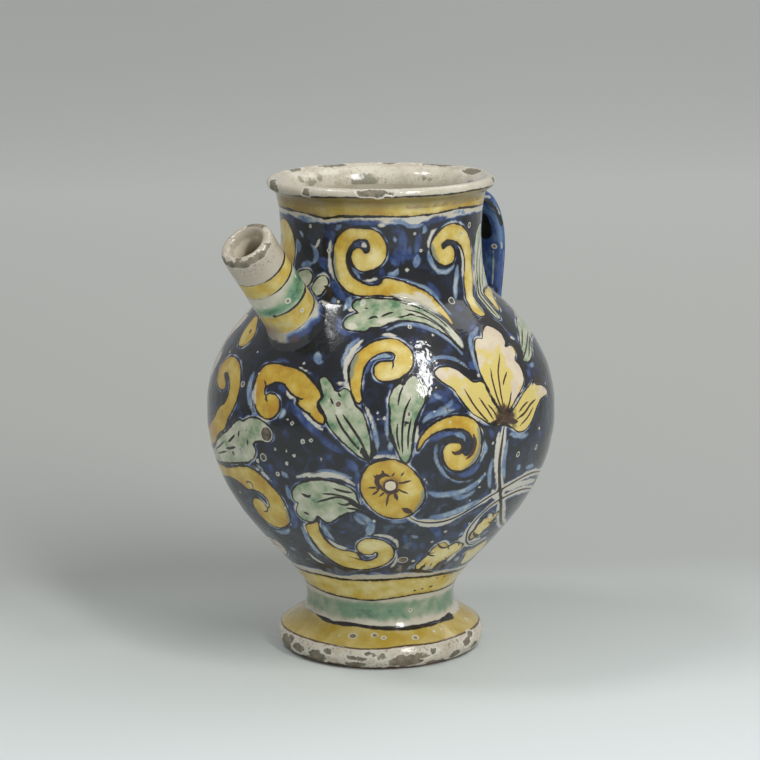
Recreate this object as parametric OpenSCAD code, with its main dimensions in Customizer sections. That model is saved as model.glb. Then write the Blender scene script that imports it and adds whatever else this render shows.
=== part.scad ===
// Wet drug jar: a pot-bellied earthenware jar for syrups and oils, with a tube
// spout on the shoulder, a strap handle opposite it and a hollow pedestal foot.
// Each solid is one piece of clay that the potter throws, pulls or rolls, and
// lutes to its neighbour with slip. Millimetres, +Z up, origin on the axis at
// the base of the foot. The spout points to -X and the handle to +X.

/* [Foot] */
// Largest radius of the rounded edge at the base
foot_r = 52.5; // [48:0.5:60]
// Radius of the rounded edge itself
foot_edge_r = 6.5; // [5:0.25:8]
// Height from the base to the joint with the belly
foot_h = 27; // [24:0.5:34]
// Height where the sloping top of the foot meets the stem
foot_step_h = 18; // [15:0.5:20]
// How far the stem widens from the joint down to the slope
stem_flare = 2.6; // [1:0.2:5]
// Thickness of the foot's clay, measured outwards
foot_wall = 8.5; // [6:0.5:10]

/* [Belly] */
// Radius of the waist, where the foot and the belly are luted together
waist_r = 37.4; // [33:0.2:42]
// Largest radius of the belly
belly_r = 87; // [76:0.5:96]
// Height from the waist to the widest ring
lower_h = 95.5; // [85:0.5:110]
// Height from the widest ring to the joint with the neck
upper_h = 60.5; // [54:0.5:70]
// Radius where the shoulder meets the neck
shoulder_r = 53.2; // [51:0.2:56]
// Pull of the curve that leaves the waist
waist_pull = 19; // [14:0.5:26]
// Pull of the curve below the widest ring
lower_pull = 53; // [44:0.5:60]
// Pull of the curve above the widest ring
upper_pull = 37.5; // [30:0.5:44]
// Pull of the curve that runs in to the neck
shoulder_pull = 6; // [3:0.5:10]
// Slope of the shoulder at the neck, in degrees
shoulder_slope = 62; // [45:1:75]
// Thickness of the belly wall
belly_wall = 6; // [4.5:0.25:7]
// Thickness of the floor inside the jar
floor_t = 9; // [6:0.5:12]

/* [Neck] */
// Height of the neck, from the shoulder to the lip
neck_h = 45; // [38:0.5:52]
// Smallest outside radius of the neck
neck_r = 49.7; // [48.5:0.1:51]
// Radius of the mouth's straight bore
mouth_r = 44.5; // [42:0.25:45.5]

/* [Lip] */
// Height of the lip above the neck
lip_h = 10; // [8:0.5:13]
// Largest radius of the lip
lip_r = 56.3; // [55:0.1:60]
// Radius of the rounded edge of the lip
lip_edge_r = 2.8; // [2.2:0.1:3.4]

/* [Spout] */
// Outside radius of the spout
spout_r = 13.5; // [11.5:0.25:14]
// Radius of the bore, which is also pierced through the shoulder
spout_bore_r = 7.5; // [5:0.25:9]
// Length of the spout along its axis, from the shoulder to its mouth
spout_len = 54; // [46:1:64]
// Rise of the spout above the horizontal, in degrees
spout_rise = 50.5; // [46:0.5:54]
// Place of the spout's axis along the shoulder curve, from the widest ring up
spout_seat_share = 0.665; // [0.62:0.005:0.7]
// Rounding of the rim of the spout
spout_edge_r = 2.2; // [1:0.1:2.5]
// Width of the luting coil worked in round the root of the spout
spout_coil_w = 2.8; // [2:0.1:4]
// Height of that luting coil along the spout
spout_coil_h = 6; // [5:0.5:10]

/* [Handle] */
// Width of the strap
strap_w = 36; // [28:1:40]
// Thickness of the strap at its middle
strap_t = 8.5; // [7:0.25:10]
// Drop from the lip to the top of the strap's upper joint
handle_drop = 3; // [2.5:0.5:8]
// How far the strap's arch stands out from the neck
arch_reach = 26; // [23:1:32]
// How far the arch rises above its joint with the neck
arch_rise = 15; // [5:0.5:17]
// How far the strap bows out past the radius of its foot
bow_reach = 11; // [4:0.5:13]
// Height above its foot at which the strap bows out most
bow_rise = 27; // [20:1:34]
// Place of the strap's foot along the shoulder curve, from the widest ring up
strap_seat_share = 0.46; // [0.4:0.01:0.5]
// Thickness of the luting coils at the two ends of the strap
strap_coil_t = 2.4; // [1.5:0.1:3.5]

/* [Hidden] */

// Colours of the glaze, as they read from a few steps away
cream = "#d9d2c2";
yellow = "#d8b451";
blue = "#2c3a63";

// Segments of a curve, and of a full turn
curve_n = 22;
turn_n = 96;

// Heights of the joints, from the base up
waist_z = foot_h;
widest_z = waist_z + lower_h;
shoulder_z = widest_z + upper_h;
neck_top_z = shoulder_z + neck_h;
top_z = neck_top_z + lip_h;

// A point on a Bezier curve with four control points, and the whole curve
function bezier(p, t) =
    pow(1 - t, 3) * p[0] + 3 * t * pow(1 - t, 2) * p[1]
    + 3 * t * t * (1 - t) * p[2] + pow(t, 3) * p[3];
function curve(p) = [for (i = [0:curve_n]) bezier(p, i / curve_n)];
function tangent(p, t) =
    3 * pow(1 - t, 2) * (p[1] - p[0]) + 6 * t * (1 - t) * (p[2] - p[1])
    + 3 * t * t * (p[3] - p[2]);
function unit(v) = v / norm(v);
function backwards(list) = [for (i = [len(list) - 1:-1:0]) list[i]];
function without_first(list) = [for (i = [1:len(list) - 1]) list[i]];
// An arc about a centre, between two angles
function arc(centre, r, from, to) =
    [for (i = [0:curve_n]) let (a = from + (to - from) * i / curve_n)
        centre + r * [cos(a), sin(a)]];

// The belly's outline from the waist to its widest ring, and on to the neck
lower_curve = [
    [waist_r, waist_z], [waist_r, waist_z + waist_pull],
    [belly_r, widest_z - lower_pull], [belly_r, widest_z]];
upper_curve =
    let (end = [shoulder_r, shoulder_z])
    [[belly_r, widest_z], [belly_r, widest_z + upper_pull],
     end + shoulder_pull * [cos(shoulder_slope), -sin(shoulder_slope)], end];
// The hollow inside: its floor curves up into the wall, and the inside of the
// shoulder ends at the bore of the mouth
floor_z = waist_z + floor_t;
inner_r = belly_r - belly_wall;
lower_cavity_curve = [
    [0, floor_z], [waist_r + belly_wall, floor_z],
    [inner_r, widest_z - lower_pull + belly_wall], [inner_r, widest_z]];
upper_cavity_curve =
    let (end = [mouth_r, shoulder_z])
    [[inner_r, widest_z], [inner_r, widest_z + upper_pull - belly_wall / 2],
     end + shoulder_pull * [cos(shoulder_slope), -sin(shoulder_slope)], end];

// Outside radius of the neck at a height: a shallow hollow between two ends
neck_hollow_z = shoulder_z + 0.58 * neck_h;
function neck_radius(z) =
    neck_r + (shoulder_r - neck_r) * pow((z - neck_hollow_z) / (neck_hollow_z - shoulder_z), 2);

// Where the spout's axis leaves the shoulder, and the way that it points
spout_root = bezier(upper_curve, spout_seat_share);
spout_mouth = spout_root + spout_len * [cos(spout_rise), sin(spout_rise)];
// The tube starts this far inside the shoulder, before it is cut to fit
spout_sink = spout_r + belly_wall;

// The foot: an open pedestal whose rounded edge slopes up into a flared stem
module foot() {
    edge = [foot_r - foot_edge_r, foot_edge_r];
    step = [waist_r + stem_flare, foot_step_h];
    slope = atan2(step[1] - 2 * foot_edge_r, edge[0] - step[0]);
    stem_h = foot_h - foot_step_h;
    stem = [step, step + [-0.7 * stem_flare, stem_h / 4], [waist_r, foot_h - stem_h / 2], [waist_r, foot_h]];
    outside = concat(arc(edge, foot_edge_r, -90, 90 - slope), curve(stem));
    hollow = curve([[waist_r - foot_wall, foot_h], [waist_r - foot_wall, foot_step_h],
                    [foot_r - 2 * foot_edge_r, foot_step_h - foot_edge_r], [foot_r - 2 * foot_edge_r, 0]]);
    color(cream)
        rotate_extrude($fn = turn_n)
            polygon(concat(outside, hollow));
}

// The whole belly without its hollow, which also trims what is luted to it
module belly_form() {
    rotate_extrude($fn = turn_n)
        polygon(concat([[0, waist_z]], curve(lower_curve), without_first(curve(upper_curve)),
                       [[0, shoulder_z]]));
}

// The belly: a thrown globe with a floor, pierced where the spout stands
module belly() {
    color(blue)
        difference() {
            belly_form();
            rotate_extrude($fn = turn_n)
                polygon(concat(curve(lower_cavity_curve), without_first(curve(upper_cavity_curve)),
                               [[0, shoulder_z]]));
            along_spout()
                translate([0, 0, -spout_sink])
                    cylinder(r = spout_bore_r, h = 2 * spout_sink, $fn = turn_n);
        }
}

// The neck's outside form, and the neck: a thrown collar with a straight bore
module neck_form() {
    outside = [for (i = [0:curve_n]) let (z = shoulder_z + neck_h * i / curve_n) [neck_radius(z), z]];
    rotate_extrude($fn = turn_n)
        polygon(concat([[0, shoulder_z]], outside, [[0, neck_top_z]]));
}
module neck() {
    color(blue)
        difference() {
            neck_form();
            translate([0, 0, shoulder_z - neck_h])
                cylinder(r = mouth_r, h = 3 * neck_h, $fn = turn_n);
        }
}

// The lip: the everted rim, with a cove under it where a cover is tied down
module lip() {
    edge = [lip_r - lip_edge_r, top_z - lip_edge_r];
    neck_edge = neck_radius(neck_top_z);
    under = curve([[neck_edge, neck_top_z], [neck_edge, neck_top_z + lip_h / 3],
                   [neck_edge + lip_edge_r, top_z - 2 * lip_edge_r],
                   edge + lip_edge_r * [cos(-60), sin(-60)]]);
    inside = curve([edge + lip_edge_r * [cos(130), sin(130)], [mouth_r + lip_edge_r, top_z - lip_edge_r],
                    [mouth_r, top_z - lip_h / 2], [mouth_r, neck_top_z]]);
    color(yellow)
        rotate_extrude($fn = turn_n)
            polygon(concat(under, without_first(arc(edge, lip_edge_r, -60, 130)), without_first(inside)));
}

// Places its children with +Z along the spout and the origin at its root
module along_spout() {
    translate([-spout_root[0], 0, spout_root[1]])
        rotate([0, spout_rise - 90, 0])
            children();
}

// The spout: a thrown tube with a rounded rim, cut to sit on the shoulder
module spout() {
    rim = arc([spout_r - spout_edge_r, spout_len - spout_edge_r], spout_edge_r, 0, 90);
    color(yellow)
        difference() {
            along_spout()
                rotate_extrude($fn = turn_n)
                    polygon(concat([[spout_bore_r, -spout_sink], [spout_r, -spout_sink]], rim,
                                   [[spout_bore_r, spout_len]]));
            belly_form();
            neck_form();
        }
}

// The luting coil that is worked in between the spout and the shoulder
module spout_coil() {
    color(cream)
        difference() {
            along_spout()
                rotate_extrude($fn = turn_n)
                    polygon([[spout_r, -spout_sink], [spout_r + 2 * spout_coil_w, -spout_sink],
                             [spout_r + spout_coil_w / 4, spout_coil_h], [spout_r, spout_coil_h]]);
            belly_form();
            neck_form();
        }
}

// The strap's centre line, from the neck to the shoulder, in the X-Z plane
strap_top = [neck_radius(neck_top_z - handle_drop - strap_t / 2), neck_top_z - handle_drop - strap_t / 2];
strap_foot = bezier(upper_curve, strap_seat_share);
strap_line = [
    strap_top, strap_top + [arch_reach, arch_rise],
    strap_foot + [bow_reach, bow_rise], strap_foot];
// Points round the strap, steps along it, and how far its ends run into the pot
strap_sides = 20;
strap_steps = 24;
strap_sink = strap_t;
// Stations along the strap: a place and a direction, with a sunk one at each end
function station(t, sink) =
    let (along = unit(tangent(strap_line, t)))
    [bezier(strap_line, t) + sink * along, along];
strap_path = concat([station(0, -strap_sink)], [for (k = [0:strap_steps]) station(k / strap_steps, 0)],
                    [station(1, strap_sink)]);
last_station = len(strap_path) - 1;

// The strap's section at a station, with a margin all round: a squared oval
function squared(c) = sign(c) * pow(abs(c), 0.6);
function strap_ring(k, margin) =
    let (at = strap_path[k][0], along = strap_path[k][1])
    [for (i = [0:strap_sides - 1])
        let (a = 360 * i / strap_sides, t = (strap_t / 2 + margin) * squared(sin(a)))
        [at[0] - t * along[1], (strap_w / 2 + margin) * squared(cos(a)), at[1] + t * along[0]]];

// The triangles between a ring and the next one, by the places of their points
function band(from, to) =
    [for (i = [0:strap_sides - 1])
        let (j = (i + 1) % strap_sides, f = from * strap_sides, t = to * strap_sides)
        each [[f + i, f + j, t + j], [f + i, t + j, t + i]]];

// The handle: a pulled strap, cut to sit on the neck and on the shoulder
module handle() {
    rings = [for (k = [0:last_station]) strap_ring(k, 0)];
    caps = [[for (i = [strap_sides - 1:-1:0]) i],
            [for (i = [0:strap_sides - 1]) last_station * strap_sides + i]];
    color(blue)
        difference() {
            polyhedron([for (ring = rings) each ring],
                       concat([for (k = [0:last_station - 1]) each band(k, k + 1)], caps));
            belly_form();
            neck_form();
        }
}

// A luting coil round the strap: its inner face is the strap's own face, and
// margins gives its thickness at each of the stations that follow the first
module strap_coil(first, margins) {
    n = len(margins);
    outer = [for (k = [0:n - 1]) strap_ring(first + k, margins[k])];
    inner = [for (k = [n - 1:-1:0]) strap_ring(first + k, 0)];
    difference() {
        polyhedron([for (ring = concat(outer, inner)) each ring],
                   [for (k = [0:2 * n - 1]) each band(k, (k + 1) % (2 * n))]);
        belly_form();
        neck_form();
    }
}
// The luting coils at the strap's two ends
module handle_coils() {
    swell = strap_coil_t * [2, 1.2, 0.7, 0.3];
    color(blue) {
        strap_coil(0, swell);
        strap_coil(last_station - len(swell) + 1, backwards(swell));
    }
}

foot();
belly();
neck();
lip();
spout();
spout_coil();
handle();
handle_coils();
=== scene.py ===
import math

import bmesh
import bpy
import numpy as np
from mathutils import Matrix, Quaternion, Vector, noise


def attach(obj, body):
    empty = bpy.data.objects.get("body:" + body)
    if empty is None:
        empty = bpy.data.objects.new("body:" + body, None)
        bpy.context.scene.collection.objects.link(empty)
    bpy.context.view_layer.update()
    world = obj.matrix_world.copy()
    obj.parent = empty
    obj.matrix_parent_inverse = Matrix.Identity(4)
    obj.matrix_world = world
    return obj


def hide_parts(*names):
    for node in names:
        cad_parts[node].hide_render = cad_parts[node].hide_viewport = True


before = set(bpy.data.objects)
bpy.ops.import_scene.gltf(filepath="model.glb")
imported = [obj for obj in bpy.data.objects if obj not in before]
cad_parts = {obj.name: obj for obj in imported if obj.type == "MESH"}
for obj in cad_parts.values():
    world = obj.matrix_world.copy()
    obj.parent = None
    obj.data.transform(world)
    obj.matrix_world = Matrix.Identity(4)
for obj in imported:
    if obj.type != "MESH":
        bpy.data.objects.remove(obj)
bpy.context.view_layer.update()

# The studio: a pale floor that runs out of sight under the soft light of a white room, with a tall strip
# lamp at the right and a broad lamp high on the left. The floor's colour carries painted shade and a painted
# glow. The camera looks down a little, over the lip.
scene = bpy.context.scene
scene.view_settings.view_transform = "Standard"
show_side = math.radians(-50)
camera_reach, camera_h, camera_dip = 1.284, 0.3957, math.radians(11.47)
jar_middle = Vector((0, 0, 0.14))

eye = bpy.data.cameras.new("camera")
eye.lens = 124.2
eye.sensor_width = 36
eye.shift_x = -0.001
camera = bpy.data.objects.new("camera", eye)
camera.location = (camera_reach * math.sin(show_side), -camera_reach * math.cos(show_side), camera_h)
camera.rotation_euler = (math.pi / 2 - camera_dip, 0, show_side)
scene.collection.objects.link(camera)
scene.camera = camera


def lamp(name, side, up, reach, width, height, watts, roll):
    """A soft box, placed by degrees right of the camera, degrees up and metres from the jar, and rolled."""
    turn, rise = show_side + math.radians(side), math.radians(up)
    way = Vector((math.sin(turn) * math.cos(rise), -math.cos(turn) * math.cos(rise), math.sin(rise)))
    box = bpy.data.lights.new(name, "AREA")
    box.shape, box.size, box.size_y, box.energy = "RECTANGLE", width, height, watts
    stand = bpy.data.objects.new(name, box)
    stand.location = way * reach + jar_middle
    facing = way.to_track_quat("Z", "Y") @ Quaternion((0, 0, 1), math.radians(roll))
    stand.rotation_euler = facing.to_euler()
    scene.collection.objects.link(stand)


lamp("strip_lamp", 38, 44, 1.7, 0.19, 1.15, 18, -19)
lamp("high_lamp", -84, 61, 1.8, 0.44, 0.26, 6.5, 0)
lamp("far_lamp", 125, 55, 1.9, 1.0, 1.0, 5, 0)


class Tint:
    """A socket in a material's node tree. Arithmetic on it adds Math nodes, and add() any other node."""

    def __init__(self, tree, socket=None):
        self.tree, self.socket = tree, socket

    def add(self, kind, settings={}, sockets={}, out=0):
        node = self.tree.nodes.new(kind)
        for name, value in settings.items():
            if name == "stops":
                ramp = node.color_ramp.elements
                while len(ramp) < len(value):
                    ramp.new(0.5)
                for stop, (place, shade) in zip(ramp, value):
                    stop.position, stop.color = place, (*shade, 1)
            else:
                setattr(node, name, value)
        for name, value in sockets.items():
            if isinstance(value, Tint):
                self.tree.links.new(value.socket, node.inputs[name])
            else:
                node.inputs[name].default_value = value
        return Tint(self.tree, node.outputs[out])

    def math(self, operation, *values):
        return self.add("ShaderNodeMath", {"operation": operation}, dict(enumerate(values)))

    def __add__(self, other):
        return self.math("ADD", self, other)

    def __sub__(self, other):
        return self.math("SUBTRACT", self, other)

    def __rsub__(self, other):
        return self.math("SUBTRACT", other, self)

    def __mul__(self, other):
        return self.math("MULTIPLY", self, other)

    def __abs__(self):
        return self.math("ABSOLUTE", self)

    def least(self, other):
        return self.math("MINIMUM", self, other)

    def most(self, other):
        return self.math("MAXIMUM", self, other)

    __radd__, __rmul__ = __add__, __mul__

    def below(self, edge, soft):
        """1 where the value is under the edge and 0 over it, with a soft change between."""
        span = {"From Min": -soft, "From Max": soft, "To Min": 1.0, "To Max": 0.0}
        return self.add("ShaderNodeMapRange", {"interpolation_type": "SMOOTHSTEP"},
                        {"Value": self - edge, **span})

    def over(self, edge, soft):
        """1 where the value is over the edge and 0 under it."""
        return 1 - self.below(edge, soft)

    def ramp(self, *stops):
        """A colour by this value, from about -0.5 to 0.5, between stops that are placed from 0 to 1."""
        colours = [(place, shade[:3]) for place, shade in stops]
        return self.add("ShaderNodeValToRGB", {"stops": colours}, {0: self + 0.5})

    def mixed(self, first, second):
        """A colour between two, by this value."""
        return self.add("ShaderNodeMix", {"data_type": "RGBA"}, {0: self, 6: first, 7: second}, 2)


def colour(red, green, blue):
    """A colour of the scene from its 0 to 255 screen values, by the usual screen curve."""
    light = [v / 3294.6 if v <= 10 else ((v / 255 + 0.055) / 1.055) ** 2.4 for v in (red, green, blue)]
    return (*light, 1.0)


room = bpy.data.worlds.new("room")
scene.world = room
room.use_nodes = True
room_light = room.node_tree.nodes["Background"].inputs
room_light["Color"].default_value = colour(210, 213, 214)
room_light["Strength"].default_value = 0.62

sheet = bmesh.new()
bmesh.ops.create_circle(sheet, cap_ends=True, segments=96, radius=30)
floor_mesh = bpy.data.meshes.new("floor")
sheet.to_mesh(floor_mesh)
sheet.free()
floor = bpy.data.objects.new("floor", floor_mesh)
scene.collection.objects.link(floor)
paper = bpy.data.materials.new("floor_paper")
paper.use_nodes = True
tint = Tint(paper.node_tree)
spot = tint.add("ShaderNodeTexCoord", out=3)
ahead = tint.add("ShaderNodeVectorMath", {"operation": "DOT_PRODUCT"},
                 {0: spot, 1: (-math.sin(show_side), math.cos(show_side), 0)}, 1)
across = tint.add("ShaderNodeVectorMath", {"operation": "DOT_PRODUCT"},
                  {0: spot, 1: (math.cos(show_side), math.sin(show_side), 0)}, 1)
# Painted shade and light on the floor: bright in front of the jar, a painted shadow band just behind it,
# lighter again far off, where a painted glow lifts it to the brightness of a lit backdrop.
place = (ahead - across * 0.12 + 0.2) * 0.5 - 0.5
shade = place.ramp(
    (0.0, colour(216, 222, 222)), (0.05, colour(209, 214, 211)), (0.11, colour(192, 196, 193)),
    (0.17, colour(172, 174, 170)), (0.4, colour(182, 183, 178)), (1.0, colour(207, 208, 203)))
floor_painted_glow = place.ramp(
    (0.0, (0, 0, 0)), (0.2, (0, 0, 0)), (0.4, (0.027, 0.027, 0.027)), (0.9, (0.095, 0.095, 0.093)),
    (1.0, (0.105, 0.105, 0.103)))
# Painted shade: the floor is darker to the left, behind the jar.
shade = (across.below(-0.1, 0.6) * ahead.over(0.1, 0.4) * 0.1).mixed(shade, colour(60, 60, 58))
skin = paper.node_tree.nodes["Principled BSDF"].inputs
paper.node_tree.links.new(shade.socket, skin["Base Color"])
paper.node_tree.links.new(floor_painted_glow.socket, skin["Emission Color"])
skin["Emission Strength"].default_value = 1.0
skin["Roughness"].default_value = 0.8
floor_mesh.materials.append(paper)

# The foot: a hollow pedestal that is thrown on the wheel as one ring of clay, with a fat rounded edge, a
# sloping top and a short stem, and luted under the belly. Its yellow slope sits between a thick black line
# and a thin brown one, its stem is washed with copper green, and its edge has lost flakes of glaze.
mm = 0.001
# In mm, what a point is given that no painted mark or flake comes near.
far_off = 9.0
foot_r, foot_edge_r, foot_h, foot_step_h = 52.5, 6.5, 27.0, 18.0
waist_r, stem_flare, foot_wall, foot_skin_r = 37.4, 2.6, 8.5, 34.0


def bezier(a, b, c, d, steps):
    """Points along a curve with four control points."""
    t = np.linspace(0, 1, steps + 1)[:, None]
    a, b, c, d = (np.array(p, float) for p in (a, b, c, d))
    return (1 - t) ** 3 * a + 3 * t * (1 - t) ** 2 * b + 3 * t * t * (1 - t) * c + t ** 3 * d


def arc(centre, r, start, end, steps):
    """Points along part of a circle, from one angle in degrees to another."""
    turn = np.radians(np.linspace(start, end, steps + 1))
    return np.array(centre) + r * np.c_[np.cos(turn), np.sin(turn)]


def walk(*stretches):
    """One outline from stretches, without the points that fall together where they meet."""
    points = [tuple(stretches[0][0])]
    for stretch in stretches:
        points += [tuple(p) for p in stretch if math.dist(p, points[-1]) > 0.01]
    return points


def thrown(outline, turns, ring):
    """A piece turned on the wheel: an outline of radius and height, in mm, spun about the jar's axis.

    An eighth of the turn is spun, and doubled three times, which is much quicker than one long spin."""
    clay = bmesh.new()
    points = [clay.verts.new((r * mm, 0, z * mm)) for r, z in outline]
    edges = [clay.edges.new(pair) for pair in zip(points, points[1:])]
    if ring:
        edges.append(clay.edges.new((points[-1], points[0])))
    eighth = math.pi / 4
    bmesh.ops.spin(clay, geom=points + edges, cent=(0, 0, 0), axis=(0, 0, 1), angle=eighth, steps=turns // 8)
    for eighths in (1, 2, 4):
        copy = bmesh.ops.duplicate(clay, geom=clay.verts[:] + clay.edges[:] + clay.faces[:])["geom"]
        bmesh.ops.rotate(clay, verts=[v for v in copy if isinstance(v, bmesh.types.BMVert)], cent=(0, 0, 0),
                         matrix=Matrix.Rotation(eighths * eighth, 3, "Z"))
    bmesh.ops.remove_doubles(clay, verts=clay.verts[:], dist=1e-6)
    bmesh.ops.recalc_face_normals(clay, faces=clay.faces[:])
    return clay


def round_jar(points):
    """Degrees round the jar from the middle of its shown side, rightward, and the height in mm."""
    turn = np.degrees(np.arctan2(points[:, 0], -points[:, 1]) - show_side)
    return (turn + 180) % 360 - 180, points[:, 2] / mm


def uneven(points):
    """The small unevenness of a hand-thrown pot: a soft oval, a few dents and the ridges of the fingers."""
    u, z = round_jar(points)
    a = np.radians(u)
    swell = (0.22 * np.cos(2 * a + 0.7) + 0.16 * np.cos(3 * a - z / 34) + 0.10 * np.cos(5 * a + z / 19)
             + 0.07 * np.cos(z / 2.3 + np.cos(a)) + 0.06 * np.cos(z / 5.1 + 2 * a))
    neck_z, neck_run, neck_tilt = 183, 55, 0.008
    lean = np.clip((z - neck_z) / neck_run, 0, 1) * neck_tilt
    r = np.hypot(points[:, 0], points[:, 1])
    moved = points.copy()
    grow = 1 + swell * mm * np.clip(r / 0.03, 0, 1) / np.maximum(r, 1e-6)
    moved[:, 0] *= grow
    moved[:, 1] *= grow
    moved[:, 2] += lean * r * np.sin(a)
    return moved


def folded(u):
    """The far side of the jar repeats the shown side turned over, so its angles run back again."""
    return np.where(u > 90, 180 - u, np.where(u < -90, -180 - u, u))


def flaked(points, flakes, rough):
    """How far each point is, in mm, from the ragged edge of the nearest lost flake, negative inside it.

    A flake is degrees round, height and radius of its middle, then its half width and half height in mm."""
    u, z = round_jar(points)
    r = np.hypot(points[:, 0], points[:, 1]) / mm
    far = np.full(len(u), far_off)
    for turn, height, middle, wide, tall in flakes:
        beside = np.radians((u - turn + 180) % 360 - 180) * r
        up = np.hypot(z - height, r - middle)
        far = np.minimum(far, (np.hypot(beside / wide, up / tall) - 1) * min(wide, tall))
    near = np.flatnonzero(far < 3)
    lumps = map(Vector, points[near] / mm / 2.6)
    torn = np.array([noise.noise(p) + 0.5 * noise.noise(p * 2.3) for p in lumps])
    far[near] += rough * torn.reshape(-1)
    return far


def sunk(clay, far, depth):
    """Steps that take the surface down, by a depth in mm, where a flake is gone."""
    clay.normal_update()
    normals = np.array([v.normal[:] for v in clay.verts])
    return -normals * (depth * mm * np.clip(0.5 - far / 0.6, 0, 1))[:, None]


def finished(name, clay, points, fields, material, nodes):
    """Turns the worked clay into a piece of the jar, with its painting as named values on its points."""
    mesh = bpy.data.meshes.new(name)
    clay.to_mesh(mesh)
    clay.free()
    mesh.vertices.foreach_set("co", points.astype(np.float32).ravel())
    for label, values in fields.items():
        mesh.attributes.new(label, "FLOAT", "POINT").data.foreach_set("value", values.astype(np.float32))
    mesh.polygons.foreach_set("use_smooth", [True] * len(mesh.polygons))
    mesh.set_sharp_from_angle(angle=math.radians(50))
    mesh.materials.append(material)
    mesh.update()
    piece = bpy.data.objects.new(name, mesh)
    scene.collection.objects.link(piece)
    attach(piece, "root")
    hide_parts(*nodes)


def places(clay):
    """The points of the worked clay, in metres."""
    clay.verts.ensure_lookup_table()
    return np.array([v.co[:] for v in clay.verts])


class Glaze(Tint):
    """A tin-glaze material: cream glaze that colours are laid on one after another."""

    cream, clay_body = colour(202, 195, 178), colour(100, 93, 79)

    def __init__(self, name):
        self.material = bpy.data.materials.new(name)
        self.material.use_nodes = True
        super().__init__(self.material.node_tree)
        self.shader = self.tree.nodes["Principled BSDF"]
        self.spot = self.add("ShaderNodeVectorMath", {"operation": "SCALE"},
                             {0: self.add("ShaderNodeTexCoord", out=3), "Scale": 1000.0})
        self.z = self.add("ShaderNodeSeparateXYZ", sockets={0: self.spot}, out=2)
        self.leftward = self.add("ShaderNodeVectorMath", {"operation": "DOT_PRODUCT"},
                                 {0: self.spot, 1: (-math.cos(show_side), -math.sin(show_side), 0)}, 1)
        self.coat = self.grain(12, 3).over(0.1, 0.4).mixed(self.cream, colour(188, 176, 154))
        self.gloss = self.grain(9, 3) * 0.06 + 0.095
        self.bloom = self.grain(14, 2, 83) * 0.16 + 0.26

    def cells(self, size, shift):
        """Where a pattern lies and its scale, by its size in mm and a shift that sets it apart."""
        apart = (shift, shift, shift)
        place = self.add("ShaderNodeVectorMath", {"operation": "ADD"}, {0: self.spot, 1: apart})
        return {"Vector": place, "Scale": 1 / size}

    def grain(self, size, detail=2.0, shift=0.0):
        """Cloudy variation from about -0.5 to 0.5, with lumps of a size in mm."""
        return self.add("ShaderNodeTexNoise", {}, {**self.cells(size, shift), "Detail": detail}) * 1.6 - 0.8

    def field(self, label):
        """A value that was set on the points of the piece."""
        return self.add("ShaderNodeAttribute", {"attribute_name": label}, out=2)

    def lay(self, mask, paint):
        """Lays a colour over what is there."""
        self.coat = mask.mixed(self.coat, paint)

    def pits(self, size, share, radius, shift):
        """Burst bubbles in the glaze: dark pinholes with a pale ring, here and there."""
        cells = self.cells(size, shift)
        far = self.add("ShaderNodeTexVoronoi", {}, cells) * size
        chance = self.add("ShaderNodeTexVoronoi", {}, cells, 1)
        chosen = self.add("ShaderNodeSeparateColor", sockets={0: chance}).below(share, 0.01)
        self.lay(chosen * far.below(radius, 0.25), colour(206, 203, 194))
        self.lay(chosen * far.below(radius * 0.55, 0.2), colour(96, 88, 74))

    def stem_wash(self, shown):
        """Washes the stem with copper, thin and then fuller, and returns the height and copper it went by."""
        height = self.z + self.grain(11) * 1.2 + self.grain(4, shift=30) * 0.8
        ragged = height + self.grain(5, 3, 77) * 3
        copper = self.field("copper") + self.grain(6, 3, 9) * 0.9
        full = ragged.over(22.0, 2.0) * ragged.below(30.6, 2.0) * copper.over(0.3, 0.4)
        self.lay(ragged.over(22.2, 1.4) * height.below(31.0, 1.2) * shown * 0.8, colour(158, 164, 138))
        self.lay(full * shown * 0.85, colour(98, 136, 106))
        return ragged, copper

    def band_dirt_and_shade(self, band):
        """Dirt and painted shade on the yellow band under the lip: darker toward its top, under the overhang
        of the lip, and painted shade toward the left of the shown side.
        """
        self.lay((self.z + self.grain(14, 2, 8) * 3).over(228.6, 3.2) * band * 0.75, colour(124, 108, 74))
        self.lay(self.leftward.over(16, 26) * self.z.over(222, 2) * band * 0.5, colour(96, 82, 58))

    def bare(self, loss):
        """Flakes that have lost their glaze and show the clay."""
        body = self.grain(3, 4).ramp((0.2, self.clay_body), (0.8, colour(142, 132, 112)))
        self.lay(loss, body)
        self.gloss = self.gloss + loss * 0.45
        self.bloom = self.bloom * (1 - loss)

    def fire(self, relief):
        """Joins the colours to the shader, with a bump for the skin of the glaze."""
        links, ports = self.tree.links, self.shader.inputs
        bump = self.add("ShaderNodeBump", {}, {"Height": relief, "Distance": 0.001, "Strength": 0.35})
        links.new(self.coat.socket, ports["Base Color"])
        links.new(self.gloss.socket, ports["Roughness"])
        links.new(bump.socket, ports["Normal"])
        links.new(self.bloom.socket, ports["Coat Weight"])
        ports["Coat Roughness"].default_value = 0.4
        ports["IOR"].default_value = 1.5
        return self.material


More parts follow.
